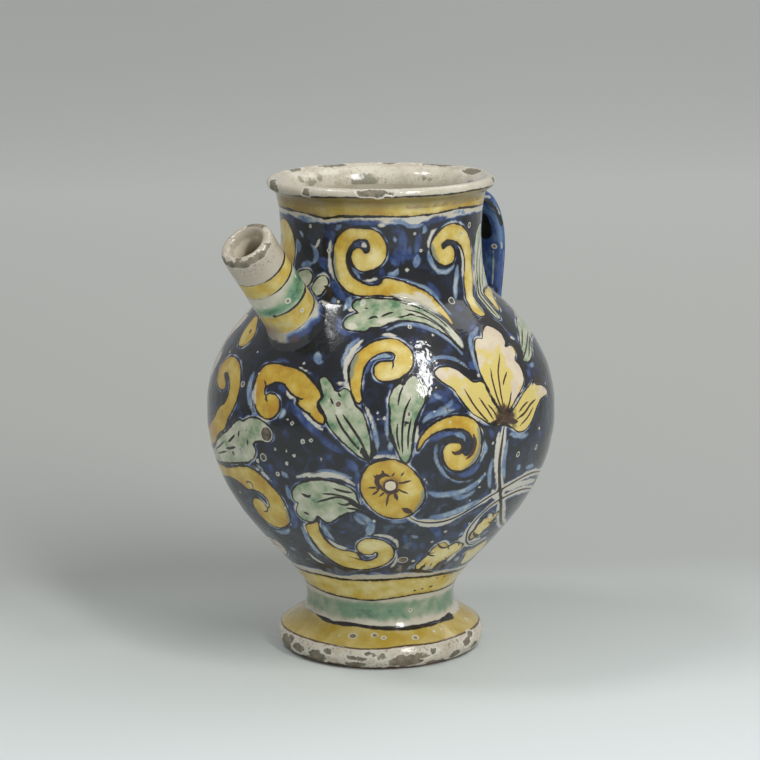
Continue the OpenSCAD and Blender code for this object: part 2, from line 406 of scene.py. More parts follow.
glaze = Glaze("foot_glaze")
thick, thin = glaze.field("thick_line"), glaze.field("thin_line") + glaze.grain(3) * 0.25
ragged, copper = glaze.stem_wash(1)
deepest = (copper + glaze.grain(4, 3, 62) * 0.8).over(0.95, 0.3)
glaze.lay(ragged.over(22.4, 1.6) * ragged.below(29.4, 2.0) * deepest * 0.7, colour(58, 92, 72))
slope = (glaze.grain(10, 3, 50) + glaze.grain(2, 2, 6) * 0.15).ramp(
    (0.2, colour(196, 178, 118)), (0.5, colour(182, 160, 86)), (0.8, colour(172, 144, 56)))
glaze.lay(thick.below(-0.2, 0.3) * thin.over(0.0, 0.25), slope)
stroke = glaze.field("pen") + glaze.grain(8, 2, 14) * 0.5
glaze.lay(abs(thick + glaze.grain(5) * 0.6).below(stroke, 0.2),
          glaze.grain(2.5, 3).over(0.25, 0.3).mixed(colour(26, 22, 20), colour(84, 60, 50)))
glaze.lay(abs(thin).below(0.3 + glaze.grain(6) * 0.25, 0.2), colour(80, 58, 38))
glaze.lay(glaze.field("inner").over(0.0, 0.5),
          glaze.grain(7, 3, 21).over(0.05, 0.4).mixed(glaze.cream, colour(172, 160, 138)))
edge_wear = thin.below(-0.5, 0.5)
specks = glaze.grain(1.4, 3, 60).over(0.12, 0.14) * glaze.grain(8, 3, 33).over(-0.12, 0.2)
glaze.lay(specks * edge_wear * 0.75, colour(138, 130, 114))
glaze.lay(glaze.field("pit").below(0.5, 0.2), colour(206, 198, 178))
loss = glaze.field("flake") + glaze.grain(1.5, 2, 11) * 0.7
glaze.lay(loss.below(0.8, 0.3), colour(208, 202, 188))
glaze.bare(glaze.field("pit").below(0.05, 0.2).most(loss.below(0.0, 0.2)))
glaze.lay((glaze.z + glaze.grain(5, 2, 9) * 2).below(1.2, 0.6), colour(124, 88, 68))
foot_finish = glaze.fire(glaze.grain(5, 2) * 0.35 + glaze.grain(1.2, 2, 70) * 0.25 * edge_wear
                         - loss.below(0.1, 0.4) * 0.3)

edge = (foot_r - foot_edge_r, foot_edge_r)
step = (waist_r + stem_flare, foot_step_h)
lean_in = math.degrees(math.atan2(step[1] - 2 * foot_edge_r, edge[0] - step[0]))
stem_h = foot_h - foot_step_h
rounded = arc(edge, foot_edge_r, -90, 90 - lean_in, 30)
slope_top = np.linspace(rounded[-1], step, 12)
stem = bezier(step, (step[0] - 0.7 * stem_flare, step[1] + stem_h / 4), (waist_r, foot_h - stem_h / 2),
              (waist_r, foot_h), 14)
hollow = bezier((waist_r - foot_wall, foot_h), (waist_r - foot_wall, foot_step_h),
                (foot_r - 2 * foot_edge_r, foot_step_h - foot_edge_r), (foot_r - 2 * foot_edge_r, 0), 14)
clay = thrown(walk(rounded, slope_top, stem, hollow), 416, True)
shape = places(clay)
u, z = round_jar(shape)
u = folded(u)
r = np.hypot(shape[:, 0], shape[:, 1]) / mm
outside = r > foot_skin_r
flake = flaked(shape, [
    (-66, 5, 51.5, 6, 4.2), (-52, 5.5, 52, 4.4, 2.5), (-38, 4, 52, 5.6, 3.4), (-16, 6.2, 52.4, 5, 1.2),
    (-14, 2.6, 51, 6.4, 1.8), (0, 7.6, 52.4, 3.2, 1.2), (13, 4.4, 52, 9, 3.2), (21, 6.6, 52.3, 5, 1.6),
    (46, 3.4, 51.6, 3.4, 2.6), (66, 4, 52, 4, 1.8), (96, 4.6, 52, 8, 3), (128, 3.4, 51.6, 6, 2.6),
    (150, 6, 52.4, 4, 1.4), (-176, 4, 52, 9, 3), (-150, 5, 52.2, 5, 2.2), (-118, 3.6, 51.8, 8, 2.8),
    (-92, 6, 52.4, 3.4, 1.4), (-30, 7.6, 52.3, 3, 1.6), (-26, 1.6, 49.6, 6, 1.6), (6, 1.2, 49, 5, 1.2),
    (33, 1.8, 50, 6, 1.6), (-48, 1.6, 49.8, 5, 1.6), (30, 8.2, 52.2, 2, 1.4), (56, 8, 52.2, 3, 2),
    (62, 10.6, 50.6, 2.4, 1.6), (-60, 9, 51.8, 3, 1.8), (78, 2.2, 50.4, 5, 1.8),
    (-7, 8.8, 51.9, 2, 0.8)], 1.2)
pit = flaked(shape, [
    (-18, 14.7, 44.2, 1.9, 1.5), (-4, 15.6, 43.2, 1.3, 1.1), (2, 14.5, 44.4, 1.1, 0.9),
    (22, 13.7, 45.4, 1.6, 1.2), (-27, 14.2, 44.8, 0.3, 0.3), (37, 15, 43.8, 0.5, 0.5),
    (43, 15, 43.8, 0.5, 0.4), (36, 12.8, 46.6, 0.3, 0.3), (48, 13.6, 45.4, 0.4, 0.3),
    (23, 26, 37.4, 0.6, 0.6), (74, 14.4, 44.6, 0.9, 0.8), (120, 14, 45, 1.1, 0.9), (160, 15, 43.8, 0.8, 0.7),
    (-110, 14.6, 44.4, 1, 0.8), (-146, 25, 37.4, 0.7, 0.7)], 0.25)
# How the painted lines wander and the copper gathers, by degrees round the foot.
thick_z = np.interp(u, (-90, -60, -38, -20, 0, 20, 40, 60, 90),
                    (19.6, 20, 18.8, 19.2, 18.4, 17.8, 17.9, 18.4, 17.8))
thin_z = np.interp(u, (-90, -50, -30, -12, 0, 14, 30, 55, 90),
                   (11, 11.4, 11.2, 10.8, 11.1, 11.9, 11.5, 11.9, 11.4))
thick_pen = np.interp(u, (-58, -52, -44, 50, 58, 63, 66), (0, 0.6, 0.9, 0.8, 1.3, 1.3, 0))
copper_wash = ((-60, -34, -26, -8, 0, 7, 14, 22, 50, 62, 68, 80),
               (0.25, 0.45, 0.8, 0.9, 0.45, 0.8, 0.7, 0.4, 0.3, 0.7, 0.6, 0.2))
hollow_r = np.interp(z, hollow[::-1, 1], hollow[::-1, 0])
fields = {
    "thick_line": z - thick_z, "thin_line": z - thin_z, "pen": thick_pen,
    "copper": np.interp(u, *copper_wash), "inner": hollow_r + 1.5 - r,
    "flake": np.where(outside, flake, far_off), "pit": np.where(outside, pit, far_off)}
spots = uneven(shape) + sunk(clay, np.minimum(flake, pit), 0.35)
spots[:, 2] = np.maximum(spots[:, 2], 0)
finished("jar_foot", clay, spots, fields, foot_finish, ["foot"])

# The belly: a globe thrown in one piece with its floor, luted on the foot. It is dipped in white tin glaze
# and painted before its one glaze firing, with scrolls, leaves and a flower that stand out of a dark ground.
belly_r, lower_h, upper_h, shoulder_r = 87.0, 95.5, 60.5, 53.2
waist_pull, lower_pull, upper_pull, shoulder_pull = 19.0, 53.0, 37.5, 6.0
shoulder_slope = math.radians(62)
belly_wall, floor_t, mouth_r = 6.0, 9.0, 44.5
spout_rise, spout_root, hole_r, hole_reach = math.radians(50.5), (-63.29, 0, 173.22), 7.6, 20.0
widest_z = foot_h + lower_h
shoulder_z = widest_z + upper_h
neck_h, neck_r = 45.0, 49.7
neck_top_z = shoulder_z + neck_h
hollow_z = shoulder_z + 0.58 * neck_h

lower = bezier((waist_r, foot_h), (waist_r, foot_h + waist_pull), (belly_r, widest_z - lower_pull),
               (belly_r, widest_z), 112)
brow = shoulder_pull * np.array((math.cos(shoulder_slope), -math.sin(shoulder_slope)))
upper = bezier((belly_r, widest_z), (belly_r, widest_z + upper_pull),
               np.array((shoulder_r, shoulder_z)) + brow, (shoulder_r, shoulder_z), 74)
inner_r = belly_r - belly_wall
throat = bezier((mouth_r, shoulder_z), np.array((mouth_r, shoulder_z)) + brow,
                (inner_r, widest_z + upper_pull - belly_wall / 2), (inner_r, widest_z), 6)
bowl = bezier((inner_r, widest_z), (inner_r, widest_z - lower_pull + belly_wall),
              (waist_r + belly_wall, foot_h + floor_t), (0, foot_h + floor_t), 8)
neck_line = np.array([(neck_r + (shoulder_r - neck_r) * ((z - hollow_z) / (hollow_z - shoulder_z)) ** 2, z)
                      for z in np.linspace(shoulder_z, neck_top_z, 56)])
jar_side = np.vstack([lower, upper[1:], neck_line[1:]])

# The motifs, as their painter sets them out: each point is degrees round from the middle of the shown side
# and mm up from the table. The far side of the jar carries the same motifs turned over.
scrolls = [
    [(-7.5, 141), (-9.3, 143.5), (-10.3, 148), (-11.2, 153), (-11.2, 158), (-9.8, 162), (-6.5, 165.8),
     (-2.5, 168.2), (2, 169.2), (6.5, 168.6), (10, 166), (11.8, 162.5), (11.6, 158.5), (9.5, 154.5),
     (6, 151.6), (2, 150.6), (-1, 151.5), (-2.6, 154), (-2.6, 157), (-1.2, 159.2), (1.5, 159.8),
     (3.8, 159.8), (5, 161.3), (4, 163), (1, 163.2), (-2, 162), (-4.6, 159.5), (-6, 156), (-6.6, 151),
     (-6.5, 146), (-6, 142.3)],
    [(-39, 130), (-42.5, 131.5), (-45, 135.5), (-46.5, 141), (-47.2, 147), (-46.6, 151.5), (-44.5, 154.5),
     (-40.5, 155.7), (-35.5, 155.7), (-30.5, 154.8), (-26.5, 152.6), (-23.2, 149.8), (-20.8, 146.5),
     (-19.6, 143), (-20.8, 140.5), (-20, 137), (-18.3, 134), (-18.4, 130.5), (-21, 131.8), (-24, 135.2),
     (-27, 137.6), (-28.6, 139.6), (-27.6, 141.4), (-30, 142.8), (-32.8, 145.4), (-34.2, 147), (-37, 147.4),
     (-39, 146.2), (-41.2, 144.8), (-41.6, 142.5), (-40.6, 141), (-39, 142.3), (-36.3, 141.6),
     (-34.4, 138.6), (-34.5, 134.6), (-36.3, 131.2)],
    [(-74, 145), (-73.5, 148.5), (-71, 151.8), (-67.5, 153.6), (-63, 153.6), (-59, 151.8), (-56, 148),
     (-54.2, 143.5), (-53.9, 138), (-54.8, 133.5), (-56.5, 129), (-59, 124), (-61, 119.5), (-64, 117),
     (-67.5, 113.5), (-71, 109.5), (-76, 106.5), (-82, 105), (-92, 104.5), (-92, 112), (-82, 113.5),
     (-77, 117), (-73, 120.5), (-70, 123.5), (-67, 127.5), (-64.5, 130.5), (-62.3, 132.3), (-61, 134.5),
     (-60.3, 138), (-61, 141.5), (-63, 144.5), (-65.5, 145.8), (-67.5, 145), (-66, 144.2), (-64, 142.5),
     (-63.2, 140), (-64, 138), (-66.5, 137.3), (-70, 138.3), (-72.8, 141)],
    [(-92, 95.3), (-80, 97), (-72, 98.6), (-64, 99.6), (-58, 101.5), (-53, 103.4), (-49, 103.9),
     (-45, 102.5), (-41, 98.5), (-38, 94), (-36, 88.5), (-35.4, 83), (-36.3, 78), (-39, 74.3), (-43, 72),
     (-47.5, 71.4), (-51.5, 73), (-54, 76), (-55, 80), (-54.3, 83.5), (-52.5, 86.3), (-50, 87.3),
     (-47.8, 86.8), (-46.4, 84.8), (-45.6, 82.8), (-44.2, 84.4), (-43.9, 86.8), (-44.8, 89), (-47, 90.7),
     (-49.8, 91), (-53.5, 90.5), (-56, 92), (-60, 93.3), (-65, 93.2), (-72, 91.5), (-80, 89.5),
     (-92, 88.5)],
    [(-29.6, 77), (-30.3, 71.5), (-29.8, 65.5), (-28.2, 60), (-24.8, 55.3), (-20, 52.1), (-14.5, 51),
     (-8.5, 51), (-3, 52.4), (2, 54.9), (5, 58.4), (5.8, 62.3), (4.8, 66), (2.2, 69.2), (-1.5, 71.2),
     (-5, 71.6), (-8.2, 70), (-10.3, 67), (-10.3, 63.8), (-8.8, 61.8), (-6.2, 61), (-3.9, 61.4),
     (-2.7, 62.8), (-1.7, 61.6), (-2.3, 59.4), (-4.6, 57.8), (-7.6, 57.2), (-9.5, 58.5), (-10.6, 61.8),
     (-13.8, 63), (-17.4, 63.3), (-20.5, 65), (-22.8, 68.4), (-24, 73), (-24, 78), (-23.2, 82.5),
     (-25.2, 79.2)],
    [(1.5, 114.8), (-2, 113.5), (-4.8, 110.5), (-6.5, 106), (-7, 100.5), (-6.2, 95), (-4, 90), (-1, 86),
     (2.5, 83.6), (6, 83), (9.5, 84.3), (12.5, 87.5), (14.5, 92), (14.6, 97), (13.2, 102.5), (10.8, 107.5),
     (8, 111.5), (5, 114)],
    [(11.2, 118), (11.3, 121.8), (12.6, 126), (15.2, 130), (19.2, 133), (24, 134.2), (28.5, 133.2),
     (31.5, 130), (33.2, 125), (33.6, 119), (33, 113.5), (31, 109.2), (28, 106.6), (25, 106.2), (22, 108.2),
     (20, 112.2), (19.2, 116.5), (20, 119.8), (22.2, 121.6), (24.6, 121.2), (26.4, 119.2), (26.2, 117),
     (27.8, 114.5), (29.6, 117.5), (29.8, 121.5), (28, 125.4), (25, 127.2), (21, 127.6), (17, 126.4),
     (14, 123.4), (12.6, 120.4)],
    [(39, 63.2), (36, 64.8), (33.5, 65.2), (31.4, 64), (29.6, 64.6), (27.6, 66.6), (25, 66), (23, 63.6),
     (22.2, 60.8), (20.4, 58), (18.6, 55.4), (17.6, 52.6), (19, 50.2), (21, 50.4), (22.4, 52.2),
     (23.4, 49.8), (25.2, 49.4), (26.4, 51.4), (27.6, 49.2), (29.4, 49.6), (30.4, 52.4), (31.6, 53.8),
     (34, 54.6), (36, 57), (38.4, 58.6), (39.6, 61)],
    [(39.4, 69.5), (40.6, 72), (40.4, 74.4), (42, 75.4), (42.4, 78), (44.2, 77.6), (45.6, 80), (47.4, 78.6),
     (50, 79.6), (50.6, 76.6), (49.2, 74), (50, 71.6), (47.8, 69.8), (46.6, 67), (44, 66.6), (42.4, 65),
     (40.4, 66.4)],
    [(45.5, 56.5), (49, 58), (54, 60), (60, 60.5), (64, 57), (66, 53), (63, 49), (58, 47.3), (53, 47),
     (50, 49), (48.5, 52)],
    [(-9, 198.3), (-13, 199.2), (-16, 201.8), (-17.3, 205), (-16.4, 208), (-13.8, 209.9), (-10.8, 209.6),
     (-8.8, 207.8), (-7.6, 208.2), (-6.9, 210), (-7.6, 212.6), (-10, 213.7), (-13.5, 213.3), (-16.4, 211),
     (-18.2, 207.5), (-18.3, 203.5), (-16.8, 199.8), (-14, 196), (-10.5, 193.5), (-6.5, 192.2), (-3, 192.3),
     (-0.6, 193.2), (0.4, 194.9), (3, 195.7), (8, 194.8), (14, 193), (20, 190.6), (25, 188), (29, 184.8),
     (32, 181), (33.6, 176), (33.3, 171.5), (30, 176.5), (26, 180), (20, 183.5), (13, 185.6), (6, 186.7),
     (-2, 187.1), (-9, 186.8), (-14, 187.2), (-18.5, 188.7), (-22, 191.2), (-25.3, 195), (-27.3, 200),
     (-27.8, 206), (-27, 211), (-24.8, 215), (-21.2, 218.2), (-17, 219.7), (-12, 220), (-7, 219.6),
     (-2.5, 218.2), (1, 215.3), (3, 211.5), (3.2, 207.5), (1.8, 203.8), (-1, 200.8), (-4.8, 198.9)],
    [(49.5, 180), (48.5, 177.5), (51, 174.8), (55, 174.6), (57.5, 177.5), (58, 182), (59.5, 186),
     (61.5, 190), (62.5, 196), (63.2, 203), (62.5, 208.5), (60, 212.5), (56, 215.8), (51, 218.2),
     (45.5, 219.6), (40, 219.3), (35, 217.5), (31, 214.5), (28.7, 211), (28.6, 207.5), (30.2, 204),
     (33, 201.2), (36.8, 199.6), (40.5, 199.2), (44, 200.3), (46.3, 202.8), (46.6, 205.5), (45, 208.3),
     (42, 209.6), (39, 209.3), (37.6, 208.3), (36.8, 209.8), (38.5, 211), (42, 211.3), (46, 210.5),
     (50, 208.8), (53, 206), (54.6, 202), (54.5, 197.5), (53, 193.5), (51.5, 189), (51, 185)],
    [(-57.5, 199), (-56.6, 205), (-57.5, 210), (-59.5, 214.5), (-63, 218), (-68, 220), (-76, 219.5),
     (-84, 216), (-88, 210), (-87, 202), (-82, 196), (-75, 192), (-67, 190), (-60.5, 190.6), (-58, 194)],
    [(70.5, 182.5), (69, 178), (68.4, 174.5), (71, 175), (75, 177), (80, 179.5), (92, 181), (92, 183.5),
     (80, 183.8)],
    [(-66.5, 158.4), (-69, 160.5), (-71, 164), (-72, 168), (-71, 172), (-67, 171.5), (-63, 169),
     (-60, 165.5), (-60, 162), (-63, 159)],
]
# How deep a yellow each scroll has, from pale to orange, and the band under them.
ripeness = [-0.06, 0.16, 0.2, 0.12, -0.14, 0.12, 0.0, -0.25, -0.25, -0.25, 0.0, -0.1, 0.14, -0.25, 0.1]
low_band_z, low_band_ripeness = 46, -0.12
leaves = [
    [(-21.6, 150.5), (-20.6, 152.4), (-19.2, 152.6), (-17, 150.3), (-15.2, 146.8), (-14, 146.2),
     (-12.4, 147.6), (-10.6, 146.6), (-9, 143), (-8.2, 140.2), (-6.4, 138), (-5, 133.5), (-3.9, 128),
     (-3.2, 122.5), (-2.9, 117), (-4, 114), (-6.2, 115), (-9, 118.2), (-12.5, 123), (-15.2, 127.2),
     (-17.4, 131.5), (-17.9, 134), (-19.8, 138), (-20.6, 141), (-19.4, 143.2), (-20.6, 147)],
    [(2.6, 137), (2.3, 142), (3.2, 146), (4.5, 149), (6.3, 150.4), (7.4, 149.6), (8.5, 151.6),
     (10.5, 153.6), (12.4, 153), (14, 150), (15, 146), (14.5, 142), (12.5, 137), (10.8, 131.5), (10, 126),
     (9.8, 121), (9.2, 115.5), (8, 112.5), (6.5, 113.5), (5.2, 117), (4, 122), (3, 127), (2.5, 132)],
    [(-40.5, 128.5), (-43, 129.6), (-46, 129.4), (-48.5, 127.8), (-50, 126.5), (-51.5, 127.2), (-54, 125.5),
     (-57, 122), (-60, 118.8), (-64, 115.6), (-68, 112), (-72, 108.2), (-78, 105), (-92, 103), (-92, 98.5),
     (-78, 98.5), (-70, 99.7), (-62, 101.7), (-56, 103.7), (-50, 105.4), (-47, 107.5), (-45, 110),
     (-44, 113.5), (-45, 116.5), (-43, 118), (-40.5, 118.3), (-37.5, 119.5), (-36.5, 123), (-37.8, 126.5)],
    [(-8.8, 98), (-12, 101), (-16, 102.8), (-20, 103.3), (-24, 102.3), (-28, 99.8), (-30.5, 97),
     (-31.8, 93), (-31.5, 90), (-30, 89), (-31.4, 86), (-31.8, 82.5), (-30.3, 79.8), (-27.5, 78.8),
     (-25, 79.8), (-23.6, 82.5), (-22.9, 82), (-21, 79.5), (-18.5, 80), (-15.5, 82.8), (-12.5, 85.3),
     (-10, 86.3), (-8.3, 87.5), (-7.5, 90.5), (-8, 94)],
    [(-17.2, 175), (-16, 177.5), (-13, 179), (-11.4, 179.6), (-13.8, 181), (-15, 183), (-13, 185),
     (-9, 185.8), (-4, 186.2), (1, 185.8), (6, 185.6), (13, 184.6), (20, 182.4), (25.5, 179.2),
     (29.6, 175.6), (32.6, 170.6), (33.4, 165.5), (33, 161.5), (31.5, 163), (29.5, 166.5), (26.5, 170),
     (22.5, 173), (18, 175), (12, 176), (6, 176), (2, 174.5), (-1.5, 173.4), (-4.5, 173.2), (-6.5, 171.8),
     (-10, 172), (-14, 172.3), (-16.5, 173.5)],
    [(60, 153.5), (62, 156.5), (65, 160), (69, 163.5), (74, 166.5), (80, 168.5), (92, 169), (92, 160),
     (80, 159.5), (74, 157), (70, 153.5), (66, 151.5), (62.5, 151.5)],
    [(-52, 195.5), (-49, 196.8), (-45, 197.5), (-42, 196.8), (-40.3, 194.5), (-41, 191.5), (-44, 189),
     (-50, 189), (-54, 192)],
    [(-39, 191.5), (-36.5, 194.5), (-33.5, 195.6), (-30.5, 194.5), (-29.3, 192), (-31, 189), (-33.5, 186),
     (-36.5, 185.5), (-40, 188.5)],
    [(62, 183.5), (64.2, 188), (65.7, 194), (67, 201), (69, 208), (72, 213.5), (76, 216), (82, 216),
     (92, 214), (92, 186), (80, 184.5), (72, 183.5), (69, 180), (67, 175.5), (64.5, 172), (62, 172),
     (60.2, 175), (60.8, 179.5)],
]
# How full a green each leaf has, from grey-cream to copper.
freshness = [0.0, 0.0, -0.12, -0.06, 0.04, -0.08, -0.3, -0.26, -0.14]
petals = [
    [(2.9, 104), (4.4, 103.2), (5, 101), (4.4, 98.9), (2.9, 98.2), (1.4, 98.9), (0.8, 101), (1.4, 103.2)],
    [(18.3, 153.6), (19.6, 155.6), (22, 156.4), (25, 156), (28, 154), (30.4, 151), (32.6, 148.4),
     (35.5, 148.2), (36.8, 147), (37.5, 143), (39, 138), (41, 133.5), (42.3, 130.5), (39, 127.5),
     (36.5, 128), (33.5, 131), (30.5, 134), (28, 138), (26, 142.5), (24.5, 146), (21.4, 149),
     (19.4, 151.3)],
    [(36.5, 150), (36.3, 155), (37.5, 161.5), (39.5, 165.5), (42, 166.4), (44, 166.1), (46, 168.8),
     (49, 170.6), (52, 170.7), (55, 168.8), (56.8, 166), (55.5, 162), (53.8, 160.6), (56.5, 161),
     (58.5, 159.8), (58, 156.8), (55.7, 154.3), (57, 152), (57.2, 148), (56, 144), (53, 140.5), (50, 137.5),
     (47.5, 134.5), (45, 132), (43, 131.5), (41.5, 134), (39.5, 139), (38, 144)],
    [(46, 131), (49, 134), (52, 137), (55, 139.5), (58.5, 141.5), (61.5, 143), (63.4, 141), (66, 140),
     (69, 138.8), (71.5, 136.5), (72.8, 134), (70, 133.5), (66, 133.3), (62.5, 131.5), (59.5, 128),
     (56.5, 123.5), (53, 121), (50, 121), (47.5, 123), (46.3, 127)],
    [(38.5, 128.5), (41, 131.5), (43, 133), (45.5, 132.5), (47.5, 129), (49.5, 125.5), (47.5, 123.5),
     (45, 125), (43, 126.5), (41, 126), (39, 126.5)],
    [(-92, 141), (-88.6, 141.5), (-86.4, 146), (-85, 152), (-84.2, 158), (-82.4, 162), (-80.2, 165),
     (-80, 168.5), (-82, 170.8), (-85, 170.2), (-87, 172.2), (-92, 172.6)],
    [(-87.6, 140.5), (-86.4, 143.4), (-84, 148), (-82, 151.2), (-80.4, 152.8), (-79.4, 151.6), (-79.8, 148),
     (-81, 144), (-82.8, 140.4), (-85, 138), (-87.4, 137.6)],
    [(-80, 50), (-68, 50.5), (-60, 52), (-55.5, 55), (-55, 58.5), (-58, 60.5), (-64, 61), (-72, 59.5),
     (-80, 57)],
]
# Stems and tendrils stand in a cream reserve. The other lines are veins, hooks and dashes: a half width in mm
# and the points that the brush goes through.
stems = [
    (1, [(-90.6, 138), (-90.6, 128), (-90.6, 118)]),
    (1, [(42.8, 126), (42, 119), (41.5, 112), (42, 105), (43.3, 98), (45.5, 91.5), (48, 85.5), (51, 80),
     (54.5, 75), (58.5, 71), (64, 68), (70, 66), (80, 64.5), (92, 64)]),
    (0.55, [(10, 83.8), (12, 81.8), (15, 80.4), (19, 79.6), (24, 79.9), (29, 82), (34, 85.5), (39, 89),
     (44, 91.8), (50, 94.2), (57, 96), (64, 96), (72, 94), (80, 91.5), (92, 90)]),
    (0.55, [(92, 81), (80, 82.5), (72, 85), (64, 87.5), (57, 88.6), (50, 87.7), (45, 86), (42, 83.5),
     (39, 79), (37.2, 74), (37.2, 70.5), (39, 66), (42, 62.8), (46, 61.3), (50, 61.8), (54, 62.6)]),
]
